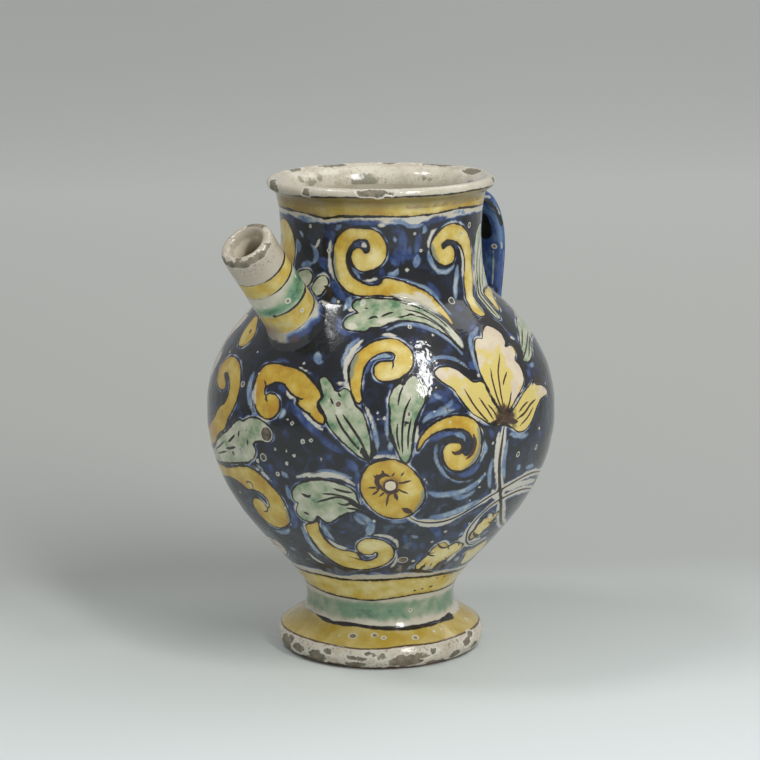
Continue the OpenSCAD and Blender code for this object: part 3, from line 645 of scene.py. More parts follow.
lines = [
    (1.5, [(-11, 92.6), (-8.4, 90.4), (-5.4, 88.4)]), (0.8, [(-14, 95.4), (-10.6, 93.6), (-8, 91)]),
    (0.7, [(-12, 88.6), (-9, 88.2), (-6, 86.4)]), (1, [(50, 171.4), (54, 170), (57, 167.4), (57.4, 163.6)]),
    (1.1, [(57, 162.4), (59.4, 160.6), (59.2, 156.6), (58, 153.4)]),
    (0.9, [(57.6, 153.6), (58.4, 150), (57.8, 145.4), (56, 142)]),
    (0.9, [(61.6, 143.6), (64, 142), (68, 140.4), (71.6, 138)]),
    (0.5, [(3.9, 160), (4.3, 158.5), (3.6, 156.3)]), (0.5, [(-45.8, 82.8), (-47.2, 80.4), (-49.6, 79.7)]),
    (0.45, [(-53, 93.5), (-52.4, 95), (-50.5, 95.4), (-49.6, 94), (-50, 91.2)]),
    (0.5, [(-41.6, 143.6), (-41.8, 145.6), (-43, 147.4)]),
    (0.6, [(-40.6, 141), (-40.4, 139.4), (-39.9, 138.2)]),
    (0.5, [(-28.4, 142), (-26.8, 141.4), (-25.8, 141.9)]), (0.4, [(-25.2, 135.8), (-22.6, 135)]),
    (0.9, [(37.6, 208.4), (38.6, 209.6), (41.5, 210.4), (45.5, 209.6)]),
    (1.2, [(37.4, 208.3), (38, 208.6)]), (0.8, [(26.4, 119), (26.2, 117), (25, 115.9), (23.2, 116.4)]),
    (1.1, [(17.6, 156.4), (20, 158.4), (24, 158.4), (28, 156.4), (31, 152.6), (33, 149.8), (35.3, 149.4)]),
    (2, [(48, 173), (54, 173), (58, 170.8), (59.6, 167.5), (58.3, 163.6), (55.4, 161.6)]),
    (2, [(59.8, 163), (62, 160), (61.8, 156.5), (59.2, 153.8), (56.6, 153)]),
    (1.3, [(57.9, 151), (58.9, 148), (57.9, 144), (56.4, 141)]),
    (1.2, [(60.8, 141.6), (64, 143.6), (68, 143.2), (71, 140.6)]),
    (1, [(-17, 209.5), (-18.8, 206.5), (-18.7, 203), (-17.5, 199.5), (-15.3, 196.5), (-12.3, 194)]),
    (0.9, [(31, 131), (34.3, 126), (35.3, 121), (35.7, 118)]),
    (0.8, [(20, 109), (22.7, 104.5), (26.7, 102), (31, 102.5), (32.7, 105.5)]),
    (1.2, [(18, 119), (19, 122), (22, 123.5), (25.5, 122), (27, 119), (26, 116.5), (24, 115.7),
     (23, 116.5)]),
    (0.7, [(21.3, 61.8), (22.5, 59.6), (25.6, 58.4)]),
    (0.7, [(24.3, 66.5), (26.5, 64), (29.5, 63), (33, 65.3), (35.5, 65), (36.5, 63)]),
    (1, [(17.5, 50.5), (20, 48.8), (25, 48.2), (31, 47)]), (0.5, [(46.7, 74), (49.5, 73), (51.6, 70)]),
    (1.4, [(-10.4, 196.8), (-7, 196.2), (-4, 196.8)]),
    (1.2, [(-31.4, 190.4), (-29.4, 189.4), (-27.8, 187)]),
    (0.5, [(36.8, 128.2), (34, 132.5), (31, 138.5), (28.4, 146)]),
    (0.5, [(38.4, 129.4), (36.2, 135), (33.6, 141)]), (0.45, [(40, 130.5), (38.6, 134), (36.6, 137.5)]),
    (0.5, [(42.6, 133), (41, 140), (40.6, 147), (41.4, 153)]),
    (0.5, [(43.2, 133.4), (43, 142), (44.4, 151), (48.4, 158)]),
    (0.5, [(45, 133), (46.4, 136.5), (48, 141)]), (0.5, [(44.6, 144.5), (46.4, 147.5), (48.6, 150.2)]),
    (0.45, [(47.2, 134), (50.4, 137.8), (54.6, 140)]),
    (0.6, [(48.6, 127.5), (53, 129.5), (57, 132.6), (61, 134.2)]),
    (0.5, [(50.4, 124), (54.6, 127), (58.6, 131)]), (0.5, [(50, 130.5), (53, 133), (56.4, 134.6)]),
    (1.5, [(36.8, 127.6), (39.6, 128.2), (41.8, 130.2)]), (1.7, [(42.8, 131.8), (44.6, 132), (45.2, 129)]),
    (1.5, [(43.4, 128.6), (46.4, 127.2), (49, 126.4)]), (1, [(44.6, 132), (45.2, 134.6)]),
    (1, [(40.6, 126.2), (42.6, 126.8), (44.6, 125.4)]),
    (1.2, [(2.4, 106.2), (0.6, 106.8), (-1, 105.4), (-1.5, 103), (-0.6, 100.6), (0.6, 98.8)]),
    (0.6, [(-4.2, 100), (-1.4, 100.4)]), (0.9, [(0.4, 99), (2.8, 97.6), (4.8, 98.2), (5.4, 99.4)]),
    (0.6, [(-3, 96.4), (-0.8, 98.8)]), (0.5, [(-0.8, 95.4), (1, 97.8)]),
    (0.5, [(1.6, 90), (2, 94), (2.4, 97.2)]), (0.9, [(5.2, 93.4), (4.8, 95.6), (4.4, 97.6)]),
    (0.5, [(8.8, 96.8), (7, 98), (5.4, 99.2)]), (0.6, [(9.4, 103.6), (7, 102.6), (5.2, 102.4)]),
    (0.5, [(7.2, 108.2), (6, 105.8)]), (0.5, [(4.2, 107.8), (3.2, 105.8)]),
    (0.6, [(0.2, 109), (0.8, 106.8)]), (0.5, [(-2.6, 106.4), (-1, 104.6)]),
    (1.5, [(7.4, 88.6), (9, 87.4), (10.6, 86.2)]),
    (0.6, [(-14.8, 136), (-12.6, 130), (-9.6, 124), (-6.2, 117.6)]), (0.5, [(-16.6, 143), (-15.6, 140)]),
    (0.65, [(-12.4, 136), (-9.6, 130.4), (-7, 124.6), (-4.8, 118)]),
    (1.5, [(-6.2, 120), (-4.8, 116), (-3.9, 113)]), (0.8, [(-65.6, 166.4), (-64.4, 165.2)]),
    (0.5, [(-14.2, 145.4), (-13.2, 143.4)]), (0.5, [(7.4, 149), (6, 145), (5.2, 140)]),
    (0.55, [(9.6, 143.6), (7.6, 138), (6.6, 131), (6.4, 123), (6.6, 117)]),
    (0.5, [(9.4, 134), (8.4, 127), (8.2, 119)]), (0.45, [(5, 132), (4.8, 126), (5.6, 119)]),
    (0.6, [(7.6, 132.4), (8.6, 131.6)]), (0.7, [(-54.4, 118.6), (-56.6, 116), (-59, 113.6)]),
    (0.7, [(-54.6, 112.4), (-58, 110.8), (-61, 109.8)]), (0.8, [(-52, 121), (-52.6, 118.4)]),
    (0.7, [(-48, 123), (-48.4, 122.2)]), (0.8, [(-47.6, 117.6), (-48, 115.6)]),
    (0.5, [(-61, 108.4), (-65, 106.6), (-70, 104.4)]), (0.5, [(-62, 113), (-67, 109), (-72, 106)]),
    (0.9, [(-27.6, 94.4), (-25.8, 93.4), (-24.4, 94)]),
    (0.6, [(-22.8, 90.6), (-19, 92.6), (-15, 94.4), (-11, 93.8)]),
    (0.55, [(-20, 95.6), (-16, 95.8), (-12, 94.8)]), (0.7, [(-15.8, 98.9), (-12.8, 97.8), (-9.6, 97.2)]),
    (0.5, [(-15, 91), (-12.6, 90.3), (-11, 90.6)]), (0.9, [(-13.4, 94), (-10.6, 93.4), (-9.2, 91.2)]),
    (0.8, [(-28.6, 84.2), (-27, 83.4)]), (0.5, [(-29.6, 77.3), (-26.6, 78.3), (-24.4, 80.6)]),
    (0.5, [(10, 183.8), (17, 182), (23, 179.2), (28, 175), (31.6, 168)]),
    (0.5, [(12, 180.8), (19, 179), (25, 175), (30, 169)]),
    (0.5, [(16, 178), (21, 176.6), (26, 173), (30.6, 166)]), (0.6, [(0, 178), (3, 179.2), (6, 179.8)]),
    (0.8, [(-8, 181.4), (-6.8, 181.4)]), (0.7, [(-6, 177), (-3.4, 178), (-1.8, 177.6)]),
    (0.7, [(-11, 179.4), (-13, 179.2)]), (0.5, [(6, 177.4), (11, 178), (14, 178.6)]),
    (0.7, [(13, 178.8), (16, 178.4)]), (0.5, [(62, 154), (67, 157), (74, 160), (82, 162)]),
    (0.5, [(66, 153.5), (72, 157.6), (80, 160.6)]), (0.5, [(64, 158), (70, 161.6), (78, 165)]),
    (0.5, [(66, 186), (69, 195), (74, 204), (82, 211)]),
    (0.5, [(68, 185), (73, 194), (80, 202), (92, 207)]), (0.5, [(72, 185.5), (80, 193), (92, 198)]),
    (0.7, [(62.6, 173), (64, 180), (66.4, 190)]), (0.8, [(65.2, 173.4), (67.6, 181), (70, 190)]),
    (0.6, [(68.6, 176), (71, 182)]), (0.35, [(22.2, 60.8), (24, 60.4), (25, 61.4)]),
    (0.35, [(22.4, 52.2), (23, 54.4)]), (0.35, [(26.4, 51.4), (26.6, 53.8)]),
    (0.3, [(31.4, 64), (31, 62.4), (32.4, 61.4)]), (0.3, [(33.6, 55.4), (32.4, 56.6)]),
    (0.9, [(41, 69.6), (43, 67.8), (45.6, 66.8)]), (0.8, [(40.6, 78.2), (42.4, 77.2)]),
    (0.7, [(47, 77.8), (48.4, 76.8)]), (0.7, [(23.4, 36), (24.6, 36)]), (0.6, [(29, 36.4), (30.6, 36.5)]),
    (0.7, [(35, 36.9), (38, 37)]), (0.7, [(37.4, 42), (38.6, 42.2)]), (0.6, [(43.4, 42.2), (44.4, 42)]),
    (1, [(30.4, 124), (31, 119.6), (30, 115), (28, 112.2)]),
    (0.45, [(-2.2, 62.6), (-2, 60.4), (-4, 58.4), (-8, 57.4), (-11.6, 58.2), (-15, 59.6)]),
    (0.5, [(-89.4, 143), (-88.4, 150), (-87.6, 158), (-86.4, 164)]),
    (0.5, [(-86.4, 141), (-84, 144), (-81.8, 148.4)]), (1.5, [(-92, 139.6), (-88, 139), (-85.4, 139.6)]),
    (0.5, [(-57.4, 56.6), (-64, 57), (-72, 55)]), (0.5, [(-61, 58.8), (-68, 58.8)]),
    (0.9, [(-76.6, 196), (-81.4, 199.4), (-83.6, 205), (-81.6, 210), (-78.2, 209), (-78.6, 204.8)]),
]


# Where the blue-black leaves the ground open, in bare cream, pale blue or cobalt: a half width in mm and the
# middle of the gap.
bare_gaps = [
    (0.9, [(-32.8, 144.4), (-31, 142.6), (-29.6, 141.4)]), (0.9, [(-26, 136), (-22, 131.6), (-18.6, 128)]),
    (0.5, [(-31, 155.8), (-27.6, 154.4), (-25, 152.6)]),
    (1, [(-7.4, 168.6), (-10.6, 164.4), (-12.4, 159.4), (-12.4, 154), (-11, 148.4)]),
    (0.6, [(-15.6, 149.4), (-13, 149.6), (-11.4, 148.6)]),
    (0.5, [(-6, 141.6), (-4.6, 138.4), (-3.2, 133), (-2.2, 127)]), (0.7, [(-3, 115), (0, 116), (4, 115.8)]),
    (0.6, [(0, 170.6), (3, 170.8), (6, 170.2)]), (0.9, [(-16, 180.6), (-13.6, 180.4)]),
    (0.9, [(11.4, 130.6), (10.9, 127), (10.8, 122.6)]), (0.7, [(35, 151.4), (35.8, 150.2)]),
    (0.9, [(61, 163.6), (63, 162.6)]),
    (0.7, [(40.8, 124), (40.2, 121), (39.8, 116), (39.8, 109), (40.9, 102), (42.4, 95)]),
    (1, [(-28.6, 103), (-25, 104.8), (-21, 105.4), (-16, 105.8), (-12, 104.4), (-9, 101.6)]),
    (2.4, [(-63, 57), (-57, 56.4)]), (0.6, [(-36.6, 58.5), (-35.4, 55.8), (-33, 53.6), (-31, 52.6)]),
    (0.7, [(-46.6, 105), (-42, 102), (-39, 98.4)]),
    (0.9, [(-22.6, 70), (-20.5, 66.8), (-17.5, 65), (-14.5, 64.6)]),
    (0.6, [(-3, 73.6), (1, 73.2), (4.5, 71.4), (6.4, 68.4), (7, 64)]),
    (0.6, [(7, 60), (6.8, 56), (5, 52.8)]), (0.5, [(13.4, 105), (15.4, 100.4)]),
    (1, [(12, 81.4), (15, 79), (19, 78.2), (24, 78.4), (28, 80)]),
    (1.5, [(41, 93.6), (42.6, 90.6), (45.4, 88.6), (47, 90)]),
    (1.5, [(47.6, 91.2), (54, 92.2), (62, 91.6), (72, 89.4)]),
    (1.5, [(39.6, 78), (38.6, 72), (40.4, 67.4), (44, 64.4), (49, 64.2)]),
    (1.2, [(34, 67.6), (36.6, 67), (38.6, 63.8)]), (1.2, [(47.4, 84), (50, 79.4), (53.4, 74.6)]),
    (0.7, [(-39.6, 208.6), (-37.6, 211), (-36.6, 213)]),
    (0.7, [(-28.8, 214), (-29.8, 208), (-29.6, 203), (-28.6, 198.5), (-26, 193.4)]),
    (0.5, [(-35, 184.2), (-30, 182.6), (-26, 181.6)]), (0.7, [(-1.6, 221.2), (1.6, 220.8)]),
    (0.8, [(-10.6, 211.8), (-8.2, 210.6)]), (0.6, [(-10, 194.2), (-5, 194.6), (-2, 195.4)]),
    (1.3, [(12, 224), (18, 222.8), (24, 223)]), (0.8, [(14.2, 199.6), (14.4, 198.6)]),
    (0.8, [(32, 218), (29.4, 216), (27.6, 212.4), (27.2, 208.6)]),
    (0.9, [(39.6, 212), (45, 211.8), (49, 209.8), (52, 206), (53.2, 201), (52.6, 196.6), (51.2, 192)]),
]
pale_gaps = [
    (1.1, [(-22.4, 78), (-21.6, 73.4), (-19.6, 69.4)]),
    (1.2, [(-8.6, 86), (-5.6, 83.4), (-3.6, 79.6), (-4, 75.6), (-6, 73)]),
    (1.2, [(15.6, 97), (18, 95.4), (21.5, 94.8), (26, 95.2), (30, 96.6), (33.4, 99.4), (36, 103)]),
    (1.3, [(-49.2, 150), (-49.3, 145), (-48.6, 140), (-47.2, 136), (-45.6, 132.4)]),
    (1.1, [(-45.6, 131.6), (-43.6, 130.6)]), (1.2, [(-34, 131.4), (-32.8, 134), (-32.8, 136)]),
    (1.5, [(-24.4, 162.6), (-23.8, 160.4), (-23, 158.8)]), (0.8, [(-24, 158.4), (-21.4, 158.4)]),
    (1.8, [(-40, 169.2), (-37, 170.4), (-34, 172.4), (-32.4, 173.6)]),
    (0.9, [(-9, 169), (-12.4, 165.4), (-13.6, 160.6), (-13.6, 156)]),
    (1, [(-3.8, 160), (-1.4, 161.6), (1.4, 162), (3.6, 161.6)]),
    (0.8, [(-3.4, 136), (-2.2, 129), (-1.5, 123), (-1.3, 118.6)]),
    (0.7, [(2.3, 123.4), (1.6, 128), (1.9, 134), (2, 139)]), (1.2, [(2.6, 122.6), (3, 119.4)]),
    (0.9, [(2.6, 172.6), (6, 174), (10, 174.8), (14, 174.8), (18, 173.9), (22, 172), (25, 170), (28, 167.2),
     (30.4, 163.6), (31.4, 160.8)]),
    (1.3, [(-18.6, 180.4), (-17.2, 183), (-16.4, 186)]), (0.7, [(17.4, 144.6), (18.6, 143), (20, 142.6)]),
    (0.8, [(14.8, 146), (15.6, 143.4)]), (1, [(13, 131.8), (15, 134.4), (18, 135.6), (21, 136), (24, 137)]),
    (0.6, [(19, 138.4), (22, 138.6), (23.6, 141)]), (1.3, [(23.8, 125.2), (25.8, 123.4), (27, 120.6)]),
    (0.7, [(17.4, 120.4), (17.1, 116), (17.8, 112), (19, 109), (21, 105.5), (24, 102.6), (28, 100.8),
     (31.6, 101)]),
    (0.8, [(35.6, 151), (35.4, 156), (36, 161), (37, 165), (39, 167.6), (42, 169), (45, 170.8)]),
    (0.6, [(16.4, 157.4), (19.6, 160), (24.6, 160), (29, 157.8), (32.4, 153.6)]),
    (0.8, [(58, 172.6), (60, 170.4), (61.4, 166.6)]), (0.9, [(63.6, 149.4), (67, 150)]),
    (1, [(45, 121.6), (48, 119.8), (52, 118.6), (55, 118.6)]),
    (0.9, [(38.4, 110), (38, 104), (38.6, 98), (39.6, 95)]),
    (1, [(44.5, 118.5), (43.7, 112), (43.7, 106), (44.7, 101), (45.8, 98)]),
    (0.9, [(34.9, 121), (34.9, 115), (33.4, 110)]), (0.9, [(-33.2, 97.6), (-33, 94), (-33.2, 91)]),
    (1.2, [(-32.2, 75), (-31.8, 70), (-31.8, 66), (-30.8, 61.5), (-29.2, 58.5)]),
    (1, [(-34.5, 105.5), (-33, 103.5), (-31.5, 103)]),
    (0.9, [(-22, 106.6), (-17, 107.4), (-13, 106.2), (-9.6, 104.6)]),
    (1, [(-50, 68.8), (-46, 68.6), (-42, 70), (-39, 72.4)]), (1, [(-48.4, 58.4), (-45, 58.8)]),
    (0.8, [(-44.4, 106), (-42, 103.6)]), (0.8, [(-9.5, 84.5), (-8.6, 82.5), (-7.2, 80.5), (-5.5, 79.5)]),
    (1.3, [(-5.2, 78.5), (-4.6, 75.5), (-4.4, 73.4)]), (0.7, [(3, 81.8), (6, 81.4), (9, 81.8)]),
    (0.7, [(11.6, 72.6), (14.5, 71.4)]), (0.8, [(-5.6, 48.8), (0, 48.4)]), (1, [(14.5, 51), (16, 53.5)]),
    (1.5, [(17.6, 83), (21, 82.8), (25, 83.8), (30, 85.8), (34, 87.8), (36.4, 89)]),
    (0.8, [(25, 92.8), (28, 92.2), (31, 93.2), (33, 95)]), (1.2, [(51.5, 103.4), (53, 101.5)]),
    (0.9, [(57, 100.8), (63, 100.2)]), (0.8, [(34.6, 71.6), (33.6, 69.4)]), (1.3, [(41, 54.6), (44, 52)]),
    (1, [(51, 68), (48.5, 66.5)]), (0.8, [(-52, 215.5), (-50.5, 214.5), (-49.5, 213)]),
    (1.6, [(-55, 211), (-54, 208), (-53, 206)]),
    (0.8, [(-43, 209.6), (-40.6, 208.6), (-39, 206.4), (-38.6, 204), (-39.6, 202), (-41.5, 200.6)]),
    (0.9, [(-41.5, 200.6), (-46, 200), (-50, 199)]), (0.6, [(-25, 218.8), (-22.6, 220.4)]),
    (0.9, [(-25.6, 185), (-24.6, 183.4)]), (1, [(-52, 222.6), (-45, 222), (-40, 221.8), (-36, 222)]),
    (0.9, [(-15.6, 198.6), (-13.8, 196.6), (-11.6, 195)]), (1, [(4, 197.2), (7.4, 197.8), (9, 199.6)]),
    (0.9, [(5, 223.2), (11, 222.6), (15, 220.8), (19, 220.2), (23, 220.6)]),
    (0.8, [(24.4, 219.6), (24.5, 217.6), (23.5, 216.5)]), (0.8, [(44, 225), (50, 225), (54, 223.8)]),
    (0.6, [(7, 215), (8, 213)]), (1.3, [(20.4, 205.6), (19.9, 203), (19.3, 200.6)]),
    (0.9, [(27.2, 208), (27.8, 204.6), (29.4, 201), (32, 198.2), (35, 196.8), (39, 196.6), (43, 198),
     (45, 199.2)]),
    (0.8, [(12, 194.4), (19, 191.8), (24, 190), (28, 187), (31, 183.6), (33, 180.2), (34.6, 177.6)]),
    (1.3, [(48, 198.6), (46.5, 194), (44.5, 190), (43.4, 186.6), (43, 183.6)]),
]
cobalt_gaps = [
    (1.8, [(61, 167), (63, 161), (63.6, 155), (62.4, 149)]), (1.6, [(15.6, 141), (19, 144), (21.6, 141)]),
    (1.4, [(20.6, 139), (26, 137.6)]), (0.9, [(-36.4, 146), (-35, 145.3), (-33.6, 143.8)]),
    (1.9, [(-29.6, 138.4), (-27.4, 135.4), (-25, 132.2), (-22, 128.2), (-19.4, 124.8)]),
    (1.2, [(-19.8, 125.2), (-17.4, 121.8), (-15, 119.6), (-12.4, 117.8)]),
    (0.6, [(-40, 157.2), (-37, 157.4), (-34.6, 156.8)]), (0.6, [(-26, 153.8), (-24.4, 152.6)]),
    (1, [(-28.6, 171.8), (-26.4, 172)]), (0.5, [(-39.6, 164), (-38, 162.4)]),
    (0.5, [(-36, 164), (-34.8, 162)]), (1, [(-5.2, 154.6), (-4.8, 157.4), (-3.8, 160)]),
    (1.3, [(-1.4, 117.2), (1, 117), (3.4, 117.6)]), (1.6, [(-10.6, 113.6), (-8.8, 110.8), (-7.6, 108.6)]),
    (1.2, [(-8, 108.6), (-7.4, 105), (-8.4, 102.6)]), (1.2, [(2.6, 148.9), (4, 148.6)]),
    (1.2, [(-20, 177), (-18.8, 175), (-17.6, 172.4), (-15, 171), (-12.4, 171)]),
    (0.8, [(16, 149.6), (18, 149.3)]), (1.5, [(15.6, 123.4), (18, 125), (21, 125.8), (23.8, 125.4)]),
    (1.5, [(33.2, 157), (34.4, 154)]), (0.8, [(40.6, 170.6), (44, 171.8)]),
    (1.5, [(59.8, 146.5), (62, 147.2)]), (0.9, [(36.6, 125), (38.2, 121.4)]),
    (1.4, [(33.4, 109.4), (31.4, 106), (28.6, 104.6), (25.6, 104.6)]),
    (1.8, [(-34, 87.4), (-34.2, 82), (-35, 76.6), (-36, 73.6)]), (1.1, [(-39, 107.5), (-38, 104.5)]),
    (0.8, [(-52, 53), (-49, 54.4)]), (1.2, [(-20.6, 78.5), (-21.8, 74), (-20.8, 70.4)]),
    (1, [(-15, 66), (-12.4, 66)]), (0.6, [(-16.2, 75), (-15.2, 74.4), (-13.6, 75.4)]),
    (0.9, [(8.5, 74), (9.5, 71.5), (10, 68)]), (0.8, [(12.6, 68), (14, 66.4), (15, 64)]),
    (0.9, [(17, 68), (18, 64)]), (1.3, [(18.6, 61), (18, 58), (19, 55.5)]),
    (1.2, [(-0.5, 49.6), (2.5, 49.8), (4.5, 50.8)]), (1.2, [(16.6, 97.4), (17.6, 96), (19, 94.6)]),
    (1.5, [(18.8, 76), (21, 75.5), (23, 72), (24, 69.5)]), (0.9, [(37.4, 91.4), (39, 92.4)]),
    (1, [(33.6, 76.6), (35.2, 74.4)]), (1.6, [(40, 57.6), (43, 57.8)]), (1, [(45.4, 82), (44.4, 81.2)]),
    (1, [(-27, 217), (-28.5, 215.5)]), (2, [(-36, 203), (-33.4, 201.6), (-31.6, 199)]),
    (1.5, [(-27.5, 193.4), (-25.5, 191), (-22, 187.4), (-18.6, 184.6)]),
    (1.1, [(-20, 222.6), (-10, 222.2), (0, 222.6)]), (0.9, [(-14.6, 211.4), (-12.6, 211.8)]),
    (1, [(-0.6, 198.8), (1, 198)]), (1, [(27, 222.4), (33, 222.8), (38, 223.2)]),
    (1.6, [(5.6, 205), (8, 203), (8.6, 209)]), (1.6, [(11.6, 218), (12, 211), (12, 203)]),
    (1.1, [(21.6, 216), (20.5, 211), (19.5, 206)]), (1, [(16, 210), (15, 204)]),
    (1.1, [(26.6, 192), (29.6, 188.4), (32.4, 184.6)]), (1.3, [(40, 179.4), (43, 179)]),
]
# Where the colour of a motif ran thin and shows the cream under it.
thin_places = [
    (1.4, [(17, 188.4), (23, 185.4), (29, 180.6)]),
    (1.8, [(6, 187.6), (14, 186), (20, 184), (25, 181), (29, 177.6)]),
    (1.4, [(29, 172.5), (31.6, 168), (33, 163.6)]), (1.8, [(-14, 137.4), (-13.4, 136)]),
    (1.6, [(-11, 184), (-8, 183.4)]), (1.5, [(-2, 176), (3, 176.6), (8, 177.4)]),
    (1.5, [(-14.6, 174.6), (-11, 173.6)]), (0.9, [(-46.4, 146), (-46, 140), (-44.6, 135)]),
    (1.4, [(22, 50.6), (28, 50.4)]), (1.2, [(37.6, 58), (36.2, 53)]), (1.2, [(44, 79.4), (48.6, 76)]),
]
flower_heart = (43.5, 129)
# Where the petals stay pinkish cream, and where the blue of the ground was dragged over a scroll.
pale_places = [
    (4, [(40, 163), (46, 165), (52, 164)]), (2.8, [(51, 161), (52.6, 151), (50.4, 141), (47.5, 135)]),
    (4.2, [(42, 167), (47, 167), (52, 168)]), (3.6, [(52, 166), (55, 158), (55.6, 151), (53, 143)]),
    (2.2, [(18.5, 154), (22, 154)]), (1.8, [(36.8, 152), (37.4, 160)]), (2.2, [(70, 137), (66, 137.5)]),
    (5, [(-90, 170), (-82, 167)]),
]
dragged_places = [
    (1.7, [(32.2, 126.5), (33.4, 121), (33, 114), (30.6, 109), (27, 106.6)]),
    (1.2, [(-8.8, 162), (-10.6, 157), (-10.4, 152)]), (1.1, [(-26.8, 207), (-26.6, 200), (-23.6, 194)]),
    (1.3, [(29.6, 210), (30.4, 205), (33.6, 201.6)]), (1.2, [(57.4, 181), (55.6, 176)]),
    (1, [(13.6, 98), (14, 92), (11.6, 87)]), (1, [(-36.4, 90), (-36, 83), (-37.4, 77)]),
]
# Where the glaze of the shoulder has gone dull, so that light spreads on it.
dull_places = [(8, [(-24, 179), (-22, 170), (-18, 163)])]
# Burst bubbles: degrees round, height and radius in mm.
bubbles = [
    (-31.6, 164.6, 0.9), (-28.4, 157.3, 0.8), (-31, 131.5, 0.8), (-29.2, 129.8, 1.1), (-35.7, 116, 0.9),
    (-31.4, 116, 0.8), (-28.7, 114, 1), (-25.4, 121.5, 1.3), (-22.6, 122.5, 1.1), (-19.2, 113.5, 0.8),
    (-31.6, 109.6, 1.1), (-41, 110.7, 2.1), (-43.8, 108.2, 1.2), (-53, 143.6, 1.6), (-35.8, 103.3, 1.3),
    (-1.2, 137, 0.8), (-1, 133.6, 0.8), (0.9, 134.4, 1), (8.7, 136, 1.5), (-13.9, 140.4, 1.9),
    (12.4, 173.6, 1.1), (21.6, 169.8, 0.8), (17.2, 136.4, 0.8), (-39.2, 122.6, 3.9), (-52, 112, 1.3),
    (-56.6, 108.6, 1.8), (10.2, 57.5, 2.6), (39.6, 182.7, 1.9), (59.9, 217.2, 1.5), (-42.9, 218.8, 1),
    (-30.4, 207.8, 1.1), (-22.7, 183.8, 0.8), (-2.6, 81.8, 0.9), (25.8, 73.4, 0.9), (34.2, 99.8, 0.9),
    (34.6, 96.6, 0.8), (36, 103.2, 0.8), (38, 118.4, 0.8), (50.4, 109.6, 1.5), (62.6, 119.2, 1),
    (15.6, 56.4, 1), (-36.4, 85, 0.8), (22.2, 131, 0.7), (-17, 141.6, 0.8), (-46.4, 150, 0.7),
    (61.6, 110, 1.4), (52, 214, 0.9), (22.6, 208, 0.9),
]


def traced(points, closed):
    """A smooth line through given points."""
    p = np.array(points, float)
    p = np.vstack([p[-1:], p, p[:2]] if closed else [2 * p[0] - p[1], p, 2 * p[-1] - p[-2]])
    t = np.linspace(0, 1, 6, endpoint=False)[:, None]
    spans = [0.5 * (2 * b + (c - a) * t + (2 * a - 5 * b + 4 * c - d) * t * t
                    + (3 * b - a - 3 * c + d) * t ** 3) for a, b, c, d in zip(p, p[1:], p[2:], p[3:])]
    return np.vstack(spans + ([] if closed else [p[-2:-1]]))


def side_r(z):
    """The radius of the jar's outer side at a height, in mm."""
    return np.interp(z, jar_side[:, 1], jar_side[:, 0])


def on_jar(u, z):
    """Points on the jar's outer side, in mm, from degrees round and a height."""
    r = side_r(z)
    return np.c_[r * np.sin(np.radians(u)), -r * np.cos(np.radians(u)), z]


def nearest(points, line, closed):
    """How far each point is from a line, which of its spans is nearest, and how far along that span."""
    a = line if closed else line[:-1]
    along = np.roll(line, -1, 0) - line if closed else np.diff(line, axis=0)
    off = points[:, None] - a[None]
    t = np.clip((off * along).sum(2) / (along * along).sum(1), 0, 1)
    far = np.linalg.norm(off - t[..., None] * along, axis=2)
    k = far.argmin(1)
    row = np.arange(len(points))
    return far[row, k], k, t[row, k]


def close_to(u, z, line, reach):
    """Which points lie within reach, in mm, of the box round a line."""
    wide = np.degrees(reach / side_r(z))
    return np.flatnonzero((z > line[:, 1].min() - reach) & (z < line[:, 1].max() + reach)
                          & (u > line[:, 0].min() - wide) & (u < line[:, 0].max() + wide))


def filled(u, z, motifs):
    """How far each point is from the edge of the nearest motif, in mm, negative inside it, and its number."""
    far, which = np.full(len(u), far_off + 3), np.zeros(len(u), int)
    for number, motif in enumerate(motifs):
        line = traced(motif, True)
        near = close_to(u, z, line, 9)
        if not len(near):
            continue
        d = nearest(on_jar(u[near], z[near]), on_jar(line[:, 0], line[:, 1]), True)[0]
        (u0, z0), (u1, z1) = line.T, np.roll(line, -1, 0).T
        cross = (z0 > z[near, None]) != (z1 > z[near, None])
        with np.errstate(divide="ignore", invalid="ignore"):
            side = u[near, None] < (u1 - u0) * (z[near, None] - z0) / (z1 - z0) + u0
        inside = (cross & side).sum(1) % 2 == 1
        d = np.where(inside, -d, d)
        which[near[d < far[near]]] = number
        far[near] = np.minimum(far[near], d)
    return far, which


def inked(u, z, strokes):
    """Where each point is across the nearest brush line, in half widths, and how far off its edge, in mm."""
    side, off = np.full(len(u), far_off), np.full(len(u), far_off)
    for half, stroke in strokes:
        line = traced(stroke, False)
        near = close_to(u, z, line, 4)
        if not len(near):
            continue
        here, path = on_jar(u[near], z[near]), on_jar(line[:, 0], line[:, 1])
        d, k, t = nearest(here, path, False)
        along = (k + t) / (len(line) - 1)
        width = half * (0.35 + 0.65 * np.clip(6 * along * (1 - along), 0, 1))
        right = here * (1, 1, 0) / np.linalg.norm(here[:, :2], axis=1)[:, None]
        hand = np.sign((np.cross(path[k + 1] - path[k], here - path[k]) * right).sum(1) + 1e-9)
        closer = d - width < off[near]
        side[near[closer]] = (hand * d / width)[closer]
        off[near[closer]] = (d - width)[closer]
    return side, off


def opened(u, z, gaps):
    """How far each point is from the edge of the nearest gap or place, in mm, negative inside it."""
    off = np.full(len(u), far_off)
    for half, gap in gaps:
        line = traced(gap, False)
        near = close_to(u, z, line, half + 4)
        if len(near):
            d, k, t = nearest(on_jar(u[near], z[near]), on_jar(line[:, 0], line[:, 1]), False)
            along = (k + t) / (len(line) - 1)
            width = half * (0.3 + 0.85 * np.clip(5 * along * (1 - along), 0, 1))
            off[near] = np.minimum(off[near], d - width)
    return off


